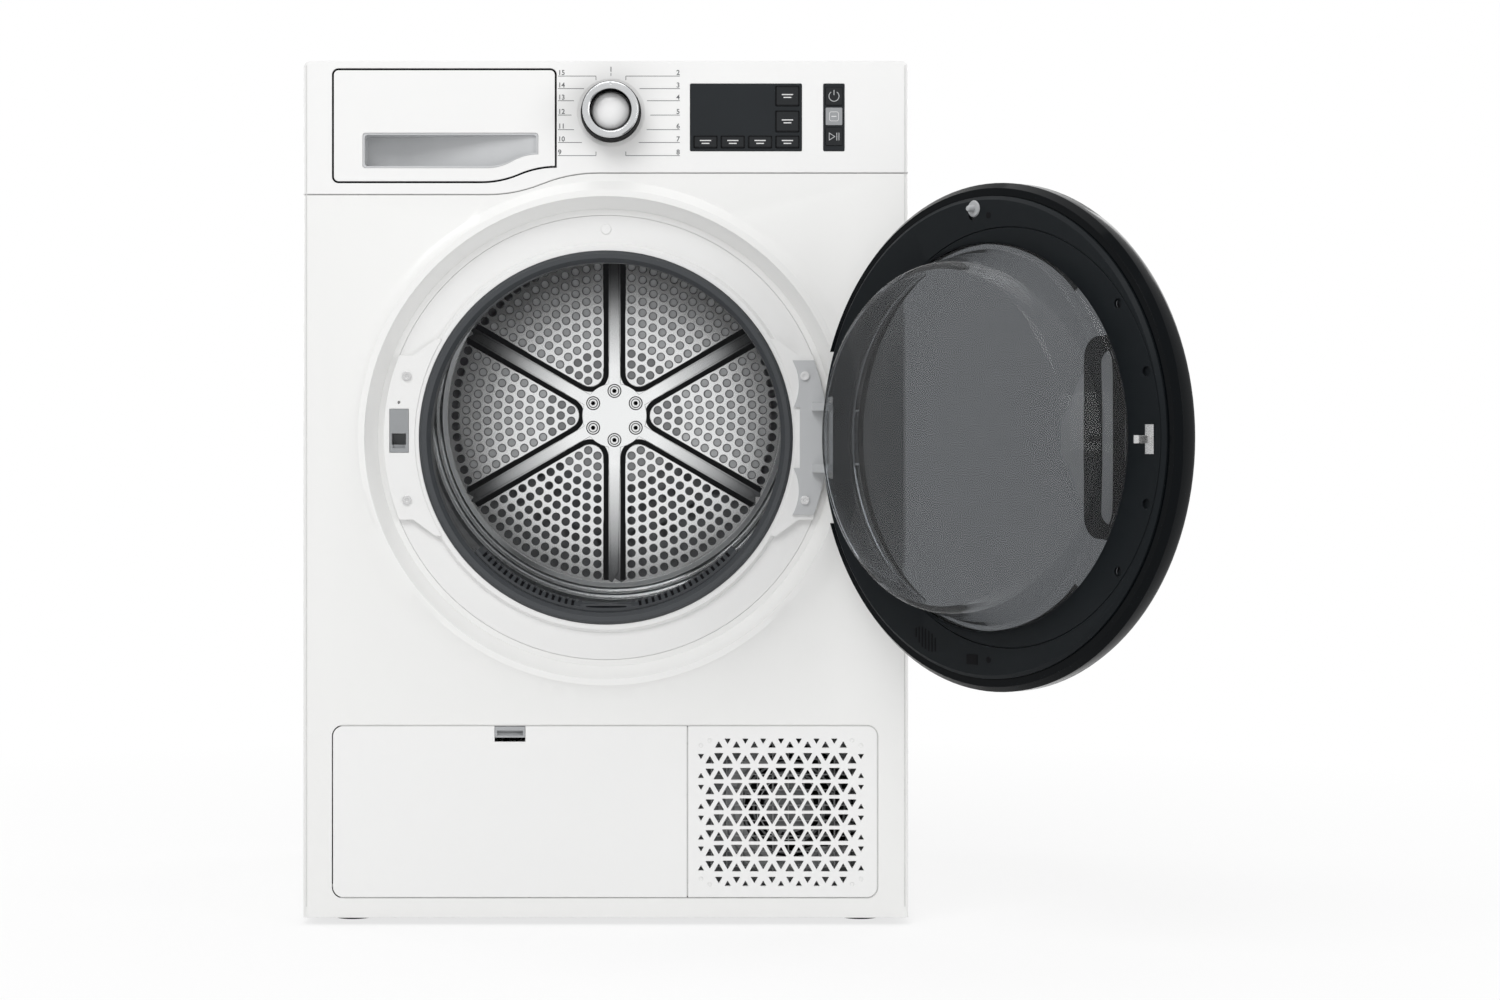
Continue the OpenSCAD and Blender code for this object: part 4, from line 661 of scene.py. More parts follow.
def refined_copy(node: str, finish: str, body: Body, angle: float = NODE_ANGLE) -> bpy.types.Object:
    """Copies a CAD node as a merged mesh, shaded smooth over its curves, and lets it stand for the node.

    Args:
        node: The CAD node.
        finish: Name of the copy's finish.
        body: The body that the node rides on.
        angle: Edges over this angle stay sharp, in degrees.

    Returns:
        The copy.
    """
    source = frame["nodes"][node].data
    bm = bmesh.new()
    verts = [bm.verts.new(v.co) for v in source.vertices]
    for polygon in source.polygons:
        corners = [verts[i] for i in polygon.vertices]
        if len(set(corners)) == len(corners):
            try:
                bm.faces.new(corners)
            except ValueError:
                continue
    bmesh.ops.remove_doubles(bm, verts=bm.verts, dist=NODE_MERGE)
    smooth_by_angle(bm, angle)
    name = node + "_surface"
    piece = new_piece(name, plain_mesh(bm, name), body, finish)
    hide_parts(node)
    return piece


def dress(finishes: dict[str, str]) -> None:
    """Gives CAD nodes their finishes.

    Args:
        finishes: The nodes and their finishes' names.
    """
    for node, finish in finishes.items():
        obj = frame["nodes"][node]
        if not obj.material_slots:
            obj.data.materials.append(PALETTE[finish])
        for slot in obj.material_slots:
            slot.material = PALETTE[finish]


def lathe(profile: Sequence[Point], centre: Vector, steps: int = 96, start: float = 0.0,
          sweep: float = 360.0) -> BMesh:
    """Turns a closed profile of radius and Y about an axis along Y.

    Args:
        profile: Points (radius, y) in metres, round a closed outline.
        centre: A point on the axis.
        steps: Number of segments.
        start: First angle in degrees, from +X towards +Z.
        sweep: Angle turned through, in degrees.

    Returns:
        The mesh.
    """
    bm = bmesh.new()
    closed = sweep == 360.0
    count = steps if closed else steps + 1
    rings = []
    for i in range(count):
        a = math.radians(start + sweep * i / steps)
        rings.append([bm.verts.new((centre.x + r * math.cos(a), y, centre.z + r * math.sin(a)))
                      for r, y in profile])
    for i in range(steps):
        here, there = rings[i], rings[(i + 1) % count]
        for k in range(len(profile)):
            m = (k + 1) % len(profile)
            bm.faces.new((here[k], here[m], there[m], there[k]))
    if not closed:
        bm.faces.new(rings[0])
        bm.faces.new(list(reversed(rings[-1])))
    bmesh.ops.remove_doubles(bm, verts=bm.verts, dist=LATHE_MERGE)
    return bm


def washer(r0: float, r1: float, y0: float, y1: float, centre: Vector, *turn: float) -> BMesh:
    """Turns a rectangle between two radii and two depths; turn is steps, start and sweep of lathe()."""
    return lathe([(r0, y0), (r1, y0), (r1, y1), (r0, y1)], centre, *turn)


def prism(outline: Sequence[Point], y0: float, y1: float) -> BMesh:
    """Extrudes a flat outline of X and Z along Y.

    Args:
        outline: Points (x, z) in metres.
        y0: Front.
        y1: Back.

    Returns:
        The mesh.
    """
    bm = bmesh.new()
    front = [bm.verts.new((x, y0, z)) for x, z in outline]
    back = [bm.verts.new((x, y1, z)) for x, z in outline]
    bm.faces.new(front)
    bm.faces.new(list(reversed(back)))
    for i in range(len(outline)):
        j = (i + 1) % len(outline)
        bm.faces.new((front[j], front[i], back[i], back[j]))
    return bm


def slab(x0: float, z0: float, x1: float, z1: float, y0: float, y1: float) -> BMesh:
    """Returns a flat block between two corners (x, z) and two depths."""
    return prism([(x0, z0), (x1, z0), (x1, z1), (x0, z1)], y0, y1)


def band(inner: Sequence[Point], outer: Sequence[Point], y0: float, y1: float, closed: bool = True) -> BMesh:
    """Builds a flat strip between two outlines of X and Z with the same number of points.

    Args:
        inner: Points of the inner side.
        outer: Points of the outer side.
        y0: Front.
        y1: Back.
        closed: True for a ring, False for a strip with two ends.

    Returns:
        The mesh.
    """
    bm = bmesh.new()
    loops = [[bm.verts.new((x, y, z)) for x, z in line]
             for line, y in ((inner, y0), (outer, y0), (outer, y1), (inner, y1))]
    for i in range(len(inner) if closed else len(inner) - 1):
        j = (i + 1) % len(inner)
        for a, b in zip(loops, loops[1:] + loops[:1]):
            bm.faces.new((a[i], a[j], b[j], b[i]))
    if not closed:
        bm.faces.new([line[0] for line in loops])
        bm.faces.new([line[-1] for line in reversed(loops)])
    return bm


def arc(x: float, z: float, r: float, start: float, sweep: float, steps: int) -> list[Point]:
    """Returns the points of an arc of radius r about x and z; degrees run from +X towards +Z."""
    angles = [math.radians(start + sweep * i / steps) for i in range(steps + 1)]
    return [(x + r * math.cos(a), z + r * math.sin(a)) for a in angles]


def rounded(x0: float, z0: float, x1: float, z1: float, r: float, steps: int = 5) -> list[Point]:
    """Returns the outline of a rectangle with round corners of radius r, from the upper right one."""
    corners = ((x1 - r, z1 - r, 0), (x0 + r, z1 - r, 90), (x0 + r, z0 + r, 180), (x1 - r, z0 + r, 270))
    return [point for x, z, start in corners for point in arc(x, z, r, start, 90, steps)]


def rising_line(x0: float, z0: float, x1: float, z1: float, steps: int = 8) -> list[Point]:
    """Makes a line that rises from z0 to z1 in two equal arcs.

    Args:
        x0: Start of the rise.
        z0: Height before it.
        x1: End of the rise.
        z1: Height after it.
        steps: Segments for each arc.

    Returns:
        Points (x, z) from x0 to x1.
    """
    r = ((x1 - x0) ** 2 + (z1 - z0) ** 2) / (4 * (z1 - z0))
    half = math.asin((x1 - x0) / 2 / r)
    turns = [half * i / steps for i in range(steps + 1)]
    first = [(x0 + r * math.sin(a), z0 + r - r * math.cos(a)) for a in turns[:-1]]
    second = [(x1 - r * math.sin(a), z1 - r + r * math.cos(a)) for a in reversed(turns)]
    return first + second


def joined(parts: Sequence[BMesh]) -> BMesh:
    """Puts several meshes into one.

    Args:
        parts: The meshes, freed here.

    Returns:
        The joined mesh.
    """
    whole = bmesh.new()
    for part in parts:
        bmesh.ops.recalc_face_normals(part, faces=part.faces)
        scratch = plain_mesh(part, "scratch")
        whole.from_mesh(scratch)
        bpy.data.meshes.remove(scratch)
    return whole


def add_piece(name: str, bm: BMesh, finish: str, body: Body, move: Optional[Matrix] = None) -> None:
    """Finishes a mesh as a piece that rides on a body.

    Args:
        name: The piece's name.
        bm: Its mesh, freed here.
        finish: Name of its finish.
        body: The body that it rides on.
        move: Placement that is applied to the mesh.
    """
    if move is not None:
        bm.transform(move)
    bmesh.ops.recalc_face_normals(bm, faces=bm.faces)
    smooth_by_angle(bm, PIECE_ANGLE)
    new_piece(name, plain_mesh(bm, name), body, finish)


# --------------------------------------------------- Geometry Nodes trees


class PatternTree(NodeTree):
    """A Geometry Nodes tree with named sizes that ends in real faces with a finish."""

    WIRE_SIDES = 4

    def __init__(self, name: str) -> None:
        """Starts an empty tree.

        Args:
            name: The tree's name.
        """
        self.group = bpy.data.node_groups.new(name, "GeometryNodeTree")
        self.group.interface.new_socket("Geometry", in_out="OUTPUT", socket_type="NodeSocketGeometry")
        super().__init__(self.group)
        self.entry = self.nodes.new("NodeGroupInput")
        self.exit = self.nodes.new("NodeGroupOutput")

    def size(self, name: str, value: float, whole: bool = False) -> Socket:
        """Adds a named size input.

        Args:
            name: The input's name.
            value: Its default.
            whole: True for a whole number.

        Returns:
            The socket that carries it inside the tree.
        """
        kind = "NodeSocketInt" if whole else "NodeSocketFloat"
        socket = self.group.interface.new_socket(name, in_out="INPUT", socket_type=kind)
        socket.default_value = value
        return self.entry.outputs[name]

    def moved(self, geometry: Socket, **how: object) -> Socket:
        """Returns geometry after a Translation, Rotation or Scale."""
        return self.out("GeometryNodeTransform", Geometry=geometry, **how)

    def wire_ring(self, radius: Socket, wire: object, sides: int) -> Socket:
        """Bends a thin wire into a ring in the X-Y plane.

        Args:
            radius: Radius of the ring.
            wire: Radius of the wire.
            sides: Segments round the ring.

        Returns:
            The ring.
        """
        line = self.out("GeometryNodeCurvePrimitiveCircle", Resolution=sides, Radius=radius)
        profile = self.out("GeometryNodeCurvePrimitiveCircle", Resolution=self.WIRE_SIDES, Radius=wire)
        return self.out("GeometryNodeCurveToMesh", Curve=line, Profile_Curve=profile)

    def together(self, parts: Sequence[Socket]) -> Socket:
        """Joins several geometries.

        Args:
            parts: The geometries.

        Returns:
            The joined geometry.
        """
        node = self.nodes.new("GeometryNodeJoinGeometry")
        for part in parts:
            self.links.new(part, node.inputs[0])
        return node.outputs[0]

    def repeated(self, points: Socket, shape: Socket, **how: object) -> Socket:
        """Returns a shape set on each of the points."""
        return self.out("GeometryNodeInstanceOnPoints", Points=points, Instance=shape, **how)

    def close(self, geometry: Socket, finish: str) -> None:
        """Ends the tree with real faces and their finish.

        Args:
            geometry: The instances.
            finish: Name of the finish.
        """
        real = self.out("GeometryNodeRealizeInstances", Geometry=geometry)
        coat = self.node("GeometryNodeSetMaterial", Geometry=real, Material=PALETTE[finish])
        self.links.new(coat.outputs[0], self.exit.inputs[0])

    def make(self, name: str, body: Body, place: Matrix, **sizes: float) -> None:
        """Runs the tree once and keeps its result as a plain piece.

        Args:
            name: The piece's name.
            body: The body that it rides on.
            place: Placement that is applied to the mesh.
            **sizes: Values for named inputs.
        """
        host = bpy.data.objects.new(name + "_host", bpy.data.meshes.new(name + "_host"))
        modifier = host.modifiers.new("pattern", "NODES")
        modifier.node_group = self.group
        for item in self.group.interface.items_tree:
            if item.name in sizes:
                modifier[item.identifier] = sizes[item.name]
        mesh = realised(host)
        mesh.transform(place)
        new_piece(name, mesh, body)


def screw_row_tree() -> PatternTree:
    """Makes the tree that sets domed screw heads with washers along a line.

    Returns:
        The tree; its heads face -Y before placement.
    """
    tree = PatternTree("screw_row")
    count = tree.size("Count", 4, whole=True)
    pitch = tree.size("Pitch", 0.1)
    radius = tree.size("Radius", 0.004)
    line = tree.out("GeometryNodeMeshLine", Count=count, Offset=tree.vector(0.0, 0.0, pitch))
    head = tree.out("GeometryNodeMeshUVSphere", Segments=16, Rings=8, Radius=radius)
    washer_radius, washer_depth = tree.times(radius, 1.35), tree.times(radius, 0.22)
    disc = tree.out("GeometryNodeMeshCylinder", Vertices=16, Radius=washer_radius, Depth=washer_depth)
    both = tree.together([tree.moved(head, Scale=(1.0, 0.45, 1.0)),
                          tree.moved(disc, Rotation=(math.pi / 2, 0, 0))])
    smooth = tree.out("GeometryNodeSetShadeSmooth", Geometry=both)
    tree.close(tree.repeated(line, smooth), "bright_steel")
    return tree


def hole_rim_tree() -> PatternTree:
    """Makes the tree that sets a raised rim round each perforation of the drum's six sectors, in steel
    darkened as painted shade.

    Returns:
        The tree; its rims lie in the X-Z plane about zero.
    """
    tree = PatternTree("hole_rims")
    rows = tree.size("Rows", 12, whole=True)
    pitch = tree.size("Pitch", 0.0125)
    inset = tree.size("Inset", 0.0463)
    side = tree.size("Side", 0.0196)
    bow = tree.size("Bow", 0.0013)
    radius = tree.size("Radius", 0.00455)
    wire = tree.size("Wire", 0.00045)
    # Row r holds r + 1 holes. Every row gets the points of the longest, and the surplus is deleted.
    width = tree.plus(rows, 1.0)
    points = tree.out("GeometryNodeMeshLine", Count=tree.times(rows, width))
    index = tree.out("GeometryNodeInputIndex")
    row = tree.math("FLOOR", tree.over(tree.plus(index, 0.5), width))
    column = tree.minus(index, tree.times(row, width))
    across = tree.minus(tree.over(tree.times(column, 2.0), tree.plus(row, 1.0)), 1.0)
    along = tree.plus(inset, tree.times(row, pitch))
    cos30, sin30 = math.cos(math.pi / 6), 0.5
    x_edge = tree.plus(tree.times(along, cos30), tree.times(side, sin30))
    z_edge = tree.minus(tree.times(along, sin30), tree.times(side, cos30))
    dome = tree.minus(1.0, tree.times(across, across))
    x = tree.plus(x_edge, tree.times(tree.times(bow, row), dome))
    spot = tree.out("GeometryNodeSetPosition", Geometry=points,
                    Position=tree.vector(x, 0.0, tree.times(across, z_edge)))
    surplus = tree.nodes.new("FunctionNodeCompare")
    surplus.data_type = "FLOAT"
    surplus.operation = "GREATER_THAN"
    tree.feed(surplus.inputs[0], column)
    tree.feed(surplus.inputs[1], tree.plus(row, 1.5))
    kept = tree.out("GeometryNodeDeleteGeometry", Geometry=spot, Selection=surplus.outputs[0])
    upright = tree.moved(tree.wire_ring(radius, wire, 12), Rotation=(math.pi / 2, 0, 0))
    smooth = tree.out("GeometryNodeSetShadeSmooth", Geometry=upright)
    sector = tree.repeated(kept, smooth)
    sectors = tree.out("GeometryNodeMeshLine", Count=6, Offset=(0.0, 0.0, 0.0))
    angle = tree.times(tree.out("GeometryNodeInputIndex"), math.pi / 3)
    tree.close(tree.repeated(sectors, sector, Rotation=tree.vector(0.0, angle, 0.0)), "rim_steel")
    return tree


def bolt_ring_tree() -> PatternTree:
    """Makes the tree that draws two dark rings and a dark disc at each bolt of a circle, as painted shade at
    the bolt's edge and in its socket.

    Returns:
        The tree; its circle lies in the X-Y plane.
    """
    tree = PatternTree("bolt_rings")
    count = tree.size("Count", 6, whole=True)
    circle = tree.size("Circle", 0.0283)
    edge = tree.size("Edge", 0.0074)
    inner = tree.size("Inner", 0.005)
    socket = tree.size("Socket", 0.0026)
    rise = tree.size("Rise", 0.0012)
    parts = []
    for radius, wire, forward in ((edge, 0.0007, 0.0), (inner, 0.0005, 1.0)):
        shift = tree.vector(0.0, 0.0, tree.times(rise, forward))
        parts.append(tree.moved(tree.wire_ring(radius, wire, 20), Translation=shift))
    plug = tree.out("GeometryNodeMeshCylinder", Vertices=12, Radius=socket, Depth=0.0004)
    parts.append(tree.moved(plug, Translation=tree.vector(0.0, 0.0, tree.times(rise, 2.0))))
    points = tree.out("GeometryNodeMeshCircle", Vertices=count, Radius=circle)
    tree.close(tree.repeated(points, tree.together(parts)), "pocket_dark")
    return tree


def guard_tree() -> PatternTree:
    """Makes the tree that lays two crossed rows of thin wires in the X-Z plane.

    Returns:
        The tree; its lower left corner is at zero.
    """
    tree = PatternTree("guard_mesh")
    across = tree.size("Across", 0.16)
    high = tree.size("High", 0.15)
    pitch = tree.size("Pitch", 0.0152)
    wire = tree.size("Wire", 0.0011)
    rows = []
    for lengthways, sideways, turned in ((across, high, False), (high, across, True)):
        count = tree.plus(tree.math("FLOOR", tree.over(sideways, pitch)), 1.0)
        half = tree.times(lengthways, 0.5)
        if turned:
            step, size, shift = (pitch, 0.0, 0.0), (wire, wire, lengthways), (0.0, 0.0, half)
        else:
            step, size, shift = (0.0, 0.0, pitch), (lengthways, wire, wire), (half, 0.0, 0.0)
        line = tree.out("GeometryNodeMeshLine", Count=count, Offset=tree.vector(*step))
        bar = tree.out("GeometryNodeMeshCube", Size=tree.vector(*size))
        rows.append(tree.repeated(line, tree.moved(bar, Translation=tree.vector(*shift))))
    tree.close(tree.together(rows), "guard_grey")
    return tree


# ------------------------------------------------------------ assemblies


@dataclass
class Cabinet:
    """Panels, worktop, rear wall, duct, base and inner machinery."""

    finishes: dict[str, str] = field(default_factory=lambda: {
        "side_panel_left": "white_enamel", "side_panel_right": "white_enamel", "worktop": "worktop_white",
        "rear_panel": "zinc_sheet", "rear_duct_cover": "zinc_sheet", "base_tray": "base_grey",
        "levelling_feet": "rubber_black", "heat_exchangers": "fin_aluminium",
        "compressor": "compressor_black", "drive_motor": "motor_enamel", "drive_belt": "rubber_black",
        "tank_housing": "tank_milky", "mains_inlet": "black_moulding", "condensate_pump": "base_grey",
        "motor_rotor": "bright_steel", "process_impeller": "base_grey", "idler_pulley": "black_moulding",
        "support_roller_left": "rubber_black", "support_roller_right": "rubber_black",
        "cooling_fan": "fan_grey"})
    screw_radius: float = 0.0042
    screw_inset: float = 0.012
    screw_proud: float = 0.0004
    side_screws: int = 6
    side_margin: float = 0.03
    top_screws: int = 5
    top_margin: float = 0.05

    def build(self) -> None:
        """Dresses the nodes, smooths the drawn panels and adds the rear screws."""
        dress(self.finishes)
        refined_copy("front_panel", "white_enamel", Body.CABINET)
        refined_copy("front_bulkhead", "white_inner", Body.CABINET)
        self.rear_screws()

    def rear_screws(self) -> None:
        """Sets rows of screws down both sides and along the top of the rear panel."""
        low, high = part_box("rear_panel")
        tree = screw_row_tree()
        left, right = low.x + self.screw_inset, high.x - self.screw_inset
        y = high.y + self.screw_proud
        outward = Matrix.Rotation(math.pi, 4, "Z")
        pitch = (high.z - low.z - 2 * self.side_margin) / (self.side_screws - 1)
        for name, x in (("rear_screws_left", left), ("rear_screws_right", right)):
            place = Matrix.Translation((x, y, low.z + self.side_margin)) @ outward
            tree.make(name, Body.CABINET, place, Count=self.side_screws, Pitch=pitch,
                      Radius=self.screw_radius)
        start = Matrix.Translation((low.x + self.top_margin, y, high.z - self.screw_inset))
        place = start @ outward @ Matrix.Rotation(-math.pi / 2, 4, "Y")
        pitch = (high.x - low.x - 2 * self.top_margin) / (self.top_screws - 1)
        tree.make("rear_screws_top", Body.CABINET, place, Count=self.top_screws, Pitch=pitch,
                  Radius=self.screw_radius)


@dataclass
class ControlPanel:
    """Fascia with the numbered dial scale, the knob, the display and the keys.

    The scale's ends and levels are places on the fascia. The button's and the signs' points are
    distances from the knob's face and from the middles of the keys.
    """

    text_height: float = 0.0068
    text_weight: float = 0.00012
    text_rise: float = 0.0012
    line: float = 0.0006
    lift: float = 0.00012
    levels: tuple[float, ...] = (0.8334, 0.8211, 0.8092, 0.7951, 0.7808, 0.7682, 0.7553)
    left_ends: tuple[float, ...] = (-0.0095, -0.0213, -0.0311, -0.0336, -0.0311, -0.0233, -0.0095)
    right_ends: tuple[float, ...] = (0.0198, 0.0333, 0.0405, 0.0439, 0.0402, 0.0325, 0.0198)
    left_margin: float = -0.0468
    right_margin: float = 0.0728
    stub: float = 0.004
    index: tuple[float, float] = (0.8335, 0.8365)
    index_number: float = 0.8378
    button: tuple[Point, ...] = ((0.0, -0.001), (0.0, 0.0096), (0.006, 0.0094), (0.012, 0.0088),
                                 (0.0165, 0.0076), (0.0181, 0.0064), (0.0186, 0.0050), (0.0186, -0.001))
    button_steps: int = 72
    skirt_radii: tuple[float, ...] = (0.0275, 0.0283, 0.0297, 0.0293)
    skirt_reach: float = 0.0170
    skirt_gap: float = 0.0014
    skirt_lip: float = 0.0006
    frame_inset: float = 0.0012
    frame_width: float = 0.0008
    option_bars: tuple[Box, ...] = ((-0.0055, 0.0008, 0.0055, 0.0018), (-0.0038, -0.0020, 0.0038, -0.0010))
    power_radii: tuple[float, float] = (0.0046, 0.0053)
    power_arc: tuple[float, float, float] = (32, 125.0, 290.0)
    power_stem: Box = (-0.00035, 0.001, 0.00035, 0.0062)
    play_inner: tuple[Point, ...] = ((-0.0044, -0.0029), (0.0002, 0.0), (-0.0044, 0.0029))
    play_outer: tuple[Point, ...] = ((-0.0050, -0.0040), (0.0014, 0.0), (-0.0050, 0.0040))
    pause_bars: tuple[Box, ...] = ((0.0024, -0.0038, 0.0031, 0.0038), (0.0045, -0.0038, 0.0052, 0.0038))
    mode_square: tuple[Point, ...] = ((0.0042, 0.0015), (0.0047, 0.002))
    mode_steps: int = 3
    mode_dash: Box = (-0.0025, -0.0004, 0.0025, 0.0004)

    def __post_init__(self) -> None:
        """Finds the front of the fascia."""
        self.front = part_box("control_fascia")[0].y

    def build(self) -> None:
        """Builds the panel's pieces."""
        refined_copy("control_fascia", "white_panel", Body.CABINET)
        dress({"display_unit": "display_black"})
        dress({f"option_key_{i}": "key_black" for i in range(1, 7)})
        dress({"power_key": "key_black", "mode_key": "mode_grey", "start_key": "key_black"})
        for node, finish in (("knob_base", "pocket_dark"), ("knob_ring", "satin_ring"),
                             ("knob_cap", "white_panel")):
            refined_copy(node, finish, Body.KNOB)
        self.knob_button()
        self.scale_lines()
        self.scale_numbers()
        self.option_signs()
        self.power_sign()
        self.start_sign()
        self.mode_sign()

    def knob_button(self) -> None:
        """Sets the slightly domed button into the knob, and the dark skirt round its foot."""
        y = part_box("knob_cap")[0].y
        centre = Vector(KNOB_CENTRE)
        dome = [(r, y - rise) for r, rise in self.button]
        add_piece("knob_button", lathe(dome, centre, self.button_steps), "button_white", Body.KNOB)
        top, foot = y - self.skirt_reach, self.front - self.skirt_gap
        inner, upper, lip, lower = self.skirt_radii
        skirt = [(inner, top), (upper, top), (lip, foot - self.skirt_lip), (lower, foot), (inner, foot)]
        add_piece("knob_skirt", lathe(skirt, centre), "pocket_dark", Body.KNOB)

    def bar(self, x0: float, z0: float, x1: float, z1: float, y: float) -> BMesh:
        """Returns a thin printed bar between two corners, standing just proud of y."""
        return slab(x0, z0, x1, z1, y - self.lift, y + self.lift)

    def bar_on(self, spot: tuple[float, float, float], box: Box) -> BMesh:
        """Returns a printed bar whose corners are given from a spot (x, y, z) on a key."""
        x, y, z = spot
        return self.bar(x + box[0], z + box[1], x + box[2], z + box[3], y)

    def middle(self, node: str) -> tuple[float, float, float]:
        """Returns the middle (x, y, z) of a key's front face."""
        low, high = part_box(node)
        return (low.x + high.x) / 2, low.y, (low.z + high.z) / 2

    def scale_lines(self) -> None:
        """Prints the leader lines of the dial."""
        half = self.line / 2
        parts = []
        for z, left, right in zip(self.levels, self.left_ends, self.right_ends):
            parts.append(self.bar(self.left_margin, z - half, left, z + half, self.front))
            parts.append(self.bar(right, z - half, self.right_margin, z + half, self.front))
        for z, drop in ((self.levels[0], -self.stub), (self.levels[-1], self.stub)):
            for x in (self.left_ends[0], self.right_ends[0]):
                low, high = sorted((z, z + drop))
                parts.append(self.bar(x - half, low, x + half, high, self.front))
        x = KNOB_CENTRE[0]
        parts.append(self.bar(x - half, self.index[0], x + half, self.index[1], self.front))
        add_piece("dial_lines", joined(parts), "print_grey", Body.CABINET)

    def scale_numbers(self) -> None:
        """Prints plain numbers at the outer ends of the leader lines."""
        spots = [(KNOB_CENTRE[0], self.index_number, "CENTER")]
        spots += [(self.right_margin, z + self.text_rise, "RIGHT") for z in self.levels]
        spots += [(self.left_margin, z + self.text_rise, "LEFT") for z in reversed(self.levels)]
        for number, (x, z, align) in enumerate(spots, 1):
            curve = bpy.data.curves.new(f"dial_number_{number}", "FONT")
            curve.body = str(number)
            curve.size = self.text_height
            curve.offset = self.text_weight
            curve.align_x = align
            curve.extrude = self.lift
            mesh = realised(bpy.data.objects.new(curve.name + "_host", curve))
            mesh.transform(Matrix.Translation((x, self.front, z)) @ Matrix.Rotation(math.pi / 2, 4, "X"))
            new_piece(f"dial_number_{number}", mesh, Body.CABINET, "print_grey")

    def option_signs(self) -> None:
        """Prints a frame and two plain bars on each option key."""
        for i in range(1, 7):
            body = Body(f"option_{i}")
            low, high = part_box(f"option_key_{i}")
            edges = self.key_frame(low, high, self.frame_inset, self.frame_width)
            add_piece(f"option_frame_{i}", joined(edges), "pocket_dark", body)
            spot = self.middle(f"option_key_{i}")
            bars = [self.bar_on(spot, box) for box in self.option_bars]
            add_piece(f"option_mark_{i}", joined(bars), "print_white", body)

    def key_frame(self, low: Vector, high: Vector, inset: float, width: float) -> list[BMesh]:
        """Makes the four bars of a thin frame inside a key's edge.

        Args:
            low: Lowest corner of the key.
            high: Highest corner of the key.
            inset: Distance of the frame from the key's collar.
            width: Width of a bar.

        Returns:
            The bars.
        """
        x0, x1, z0, z1 = low.x + inset, high.x - inset, low.z + inset, high.z - inset
        corners = ((x0, z0, x1, z0 + width), (x0, z1 - width, x1, z1), (x0, z0, x0 + width, z1),
                   (x1 - width, z0, x1, z1))
        return [self.bar(*box, low.y) for box in corners]

    def power_sign(self) -> None:
        """Prints the open ring and the stroke of the power sign."""
        x, y, z = self.middle("power_key")
        centre = Vector((x, y, z))
        ring = washer(*self.power_radii, y - self.lift, y + self.lift, centre, *self.power_arc)
        stem = self.bar_on(tuple(centre), self.power_stem)
        add_piece("power_sign", joined([ring, stem]), "print_pale", Body.POWER)

    def start_sign(self) -> None:
        """Prints the triangle and the two bars of the start sign."""
        x, y, z = spot = self.middle("start_key")
        inner, outer = ([(x + dx, z + dz) for dx, dz in line] for line in (self.play_inner, self.play_outer))
        play = band(inner, outer, y - self.lift, y + self.lift)
        bars = [self.bar_on(spot, box) for box in self.pause_bars]
        add_piece("start_sign", joined([play, *bars]), "print_pale", Body.START)

    def mode_sign(self) -> None:
        """Prints a square with a dash."""
        x, y, z = spot = self.middle("mode_key")
        inner, outer = (rounded(x - half, z - half, x + half, z + half, r, self.mode_steps)
                        for half, r in self.mode_square)
        square = band(inner, outer, y - self.lift, y + self.lift)
        add_piece("mode_sign", joined([square, self.bar_on(spot, self.mode_dash)]), "print_white", Body.MODE)


@dataclass
class WaterTank:
    """The tank drawer with its grip, and the dark seal in the seam round its front."""

    corner: float = 0.0045
    corner_points: int = 6
    rise: float = 0.0152
    rise_start: float = 0.1448
    rise_overrun: float = 0.002
    rise_trim: float = 0.001
    seal_offsets: tuple[float, float] = (0.00015, 0.0019)
    seal_depths: tuple[float, float] = (0.0003, 0.0014)

    def outline(self, grow: float) -> list[Point]:
        """Makes the outline of the drawer's front.

        Args:
            grow: Distance by which it is larger than the front.

        Returns:
            Points (x, z), from the lower left corner round to the left side.
        """
        low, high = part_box("tank_front")
        x0, z0, x1, z1 = low.x - grow, low.z - grow, high.x + grow, high.z + grow
        n = self.corner_points
        corners = rounded(x0, z0, x1, z1, self.corner + grow, n - 1)
        top, left, foot = corners[:n], corners[n:2 * n], corners[2 * n:3 * n]
        rise = rising_line(low.x + self.rise_start, z0, high.x + self.rise_overrun, z0 + self.rise)
        return foot + [point for point in rise if point[0] < x1 - self.rise_trim] + top + left

    def build(self) -> None:
        """Lays the seal and dresses the drawer."""
        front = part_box("tank_front")[0].y
        inner, outer = (self.outline(grow) for grow in self.seal_offsets)
        near, far = (front + depth for depth in self.seal_depths)
        add_piece("tank_seal", band(inner, outer, near, far), "pocket_dark", Body.CABINET)
        refined_copy("tank_front", "white_panel", Body.TANK)
        refined_copy("tank_grip", "grip_grey", Body.TANK)
        dress({"tank_body": "tank_milky"})


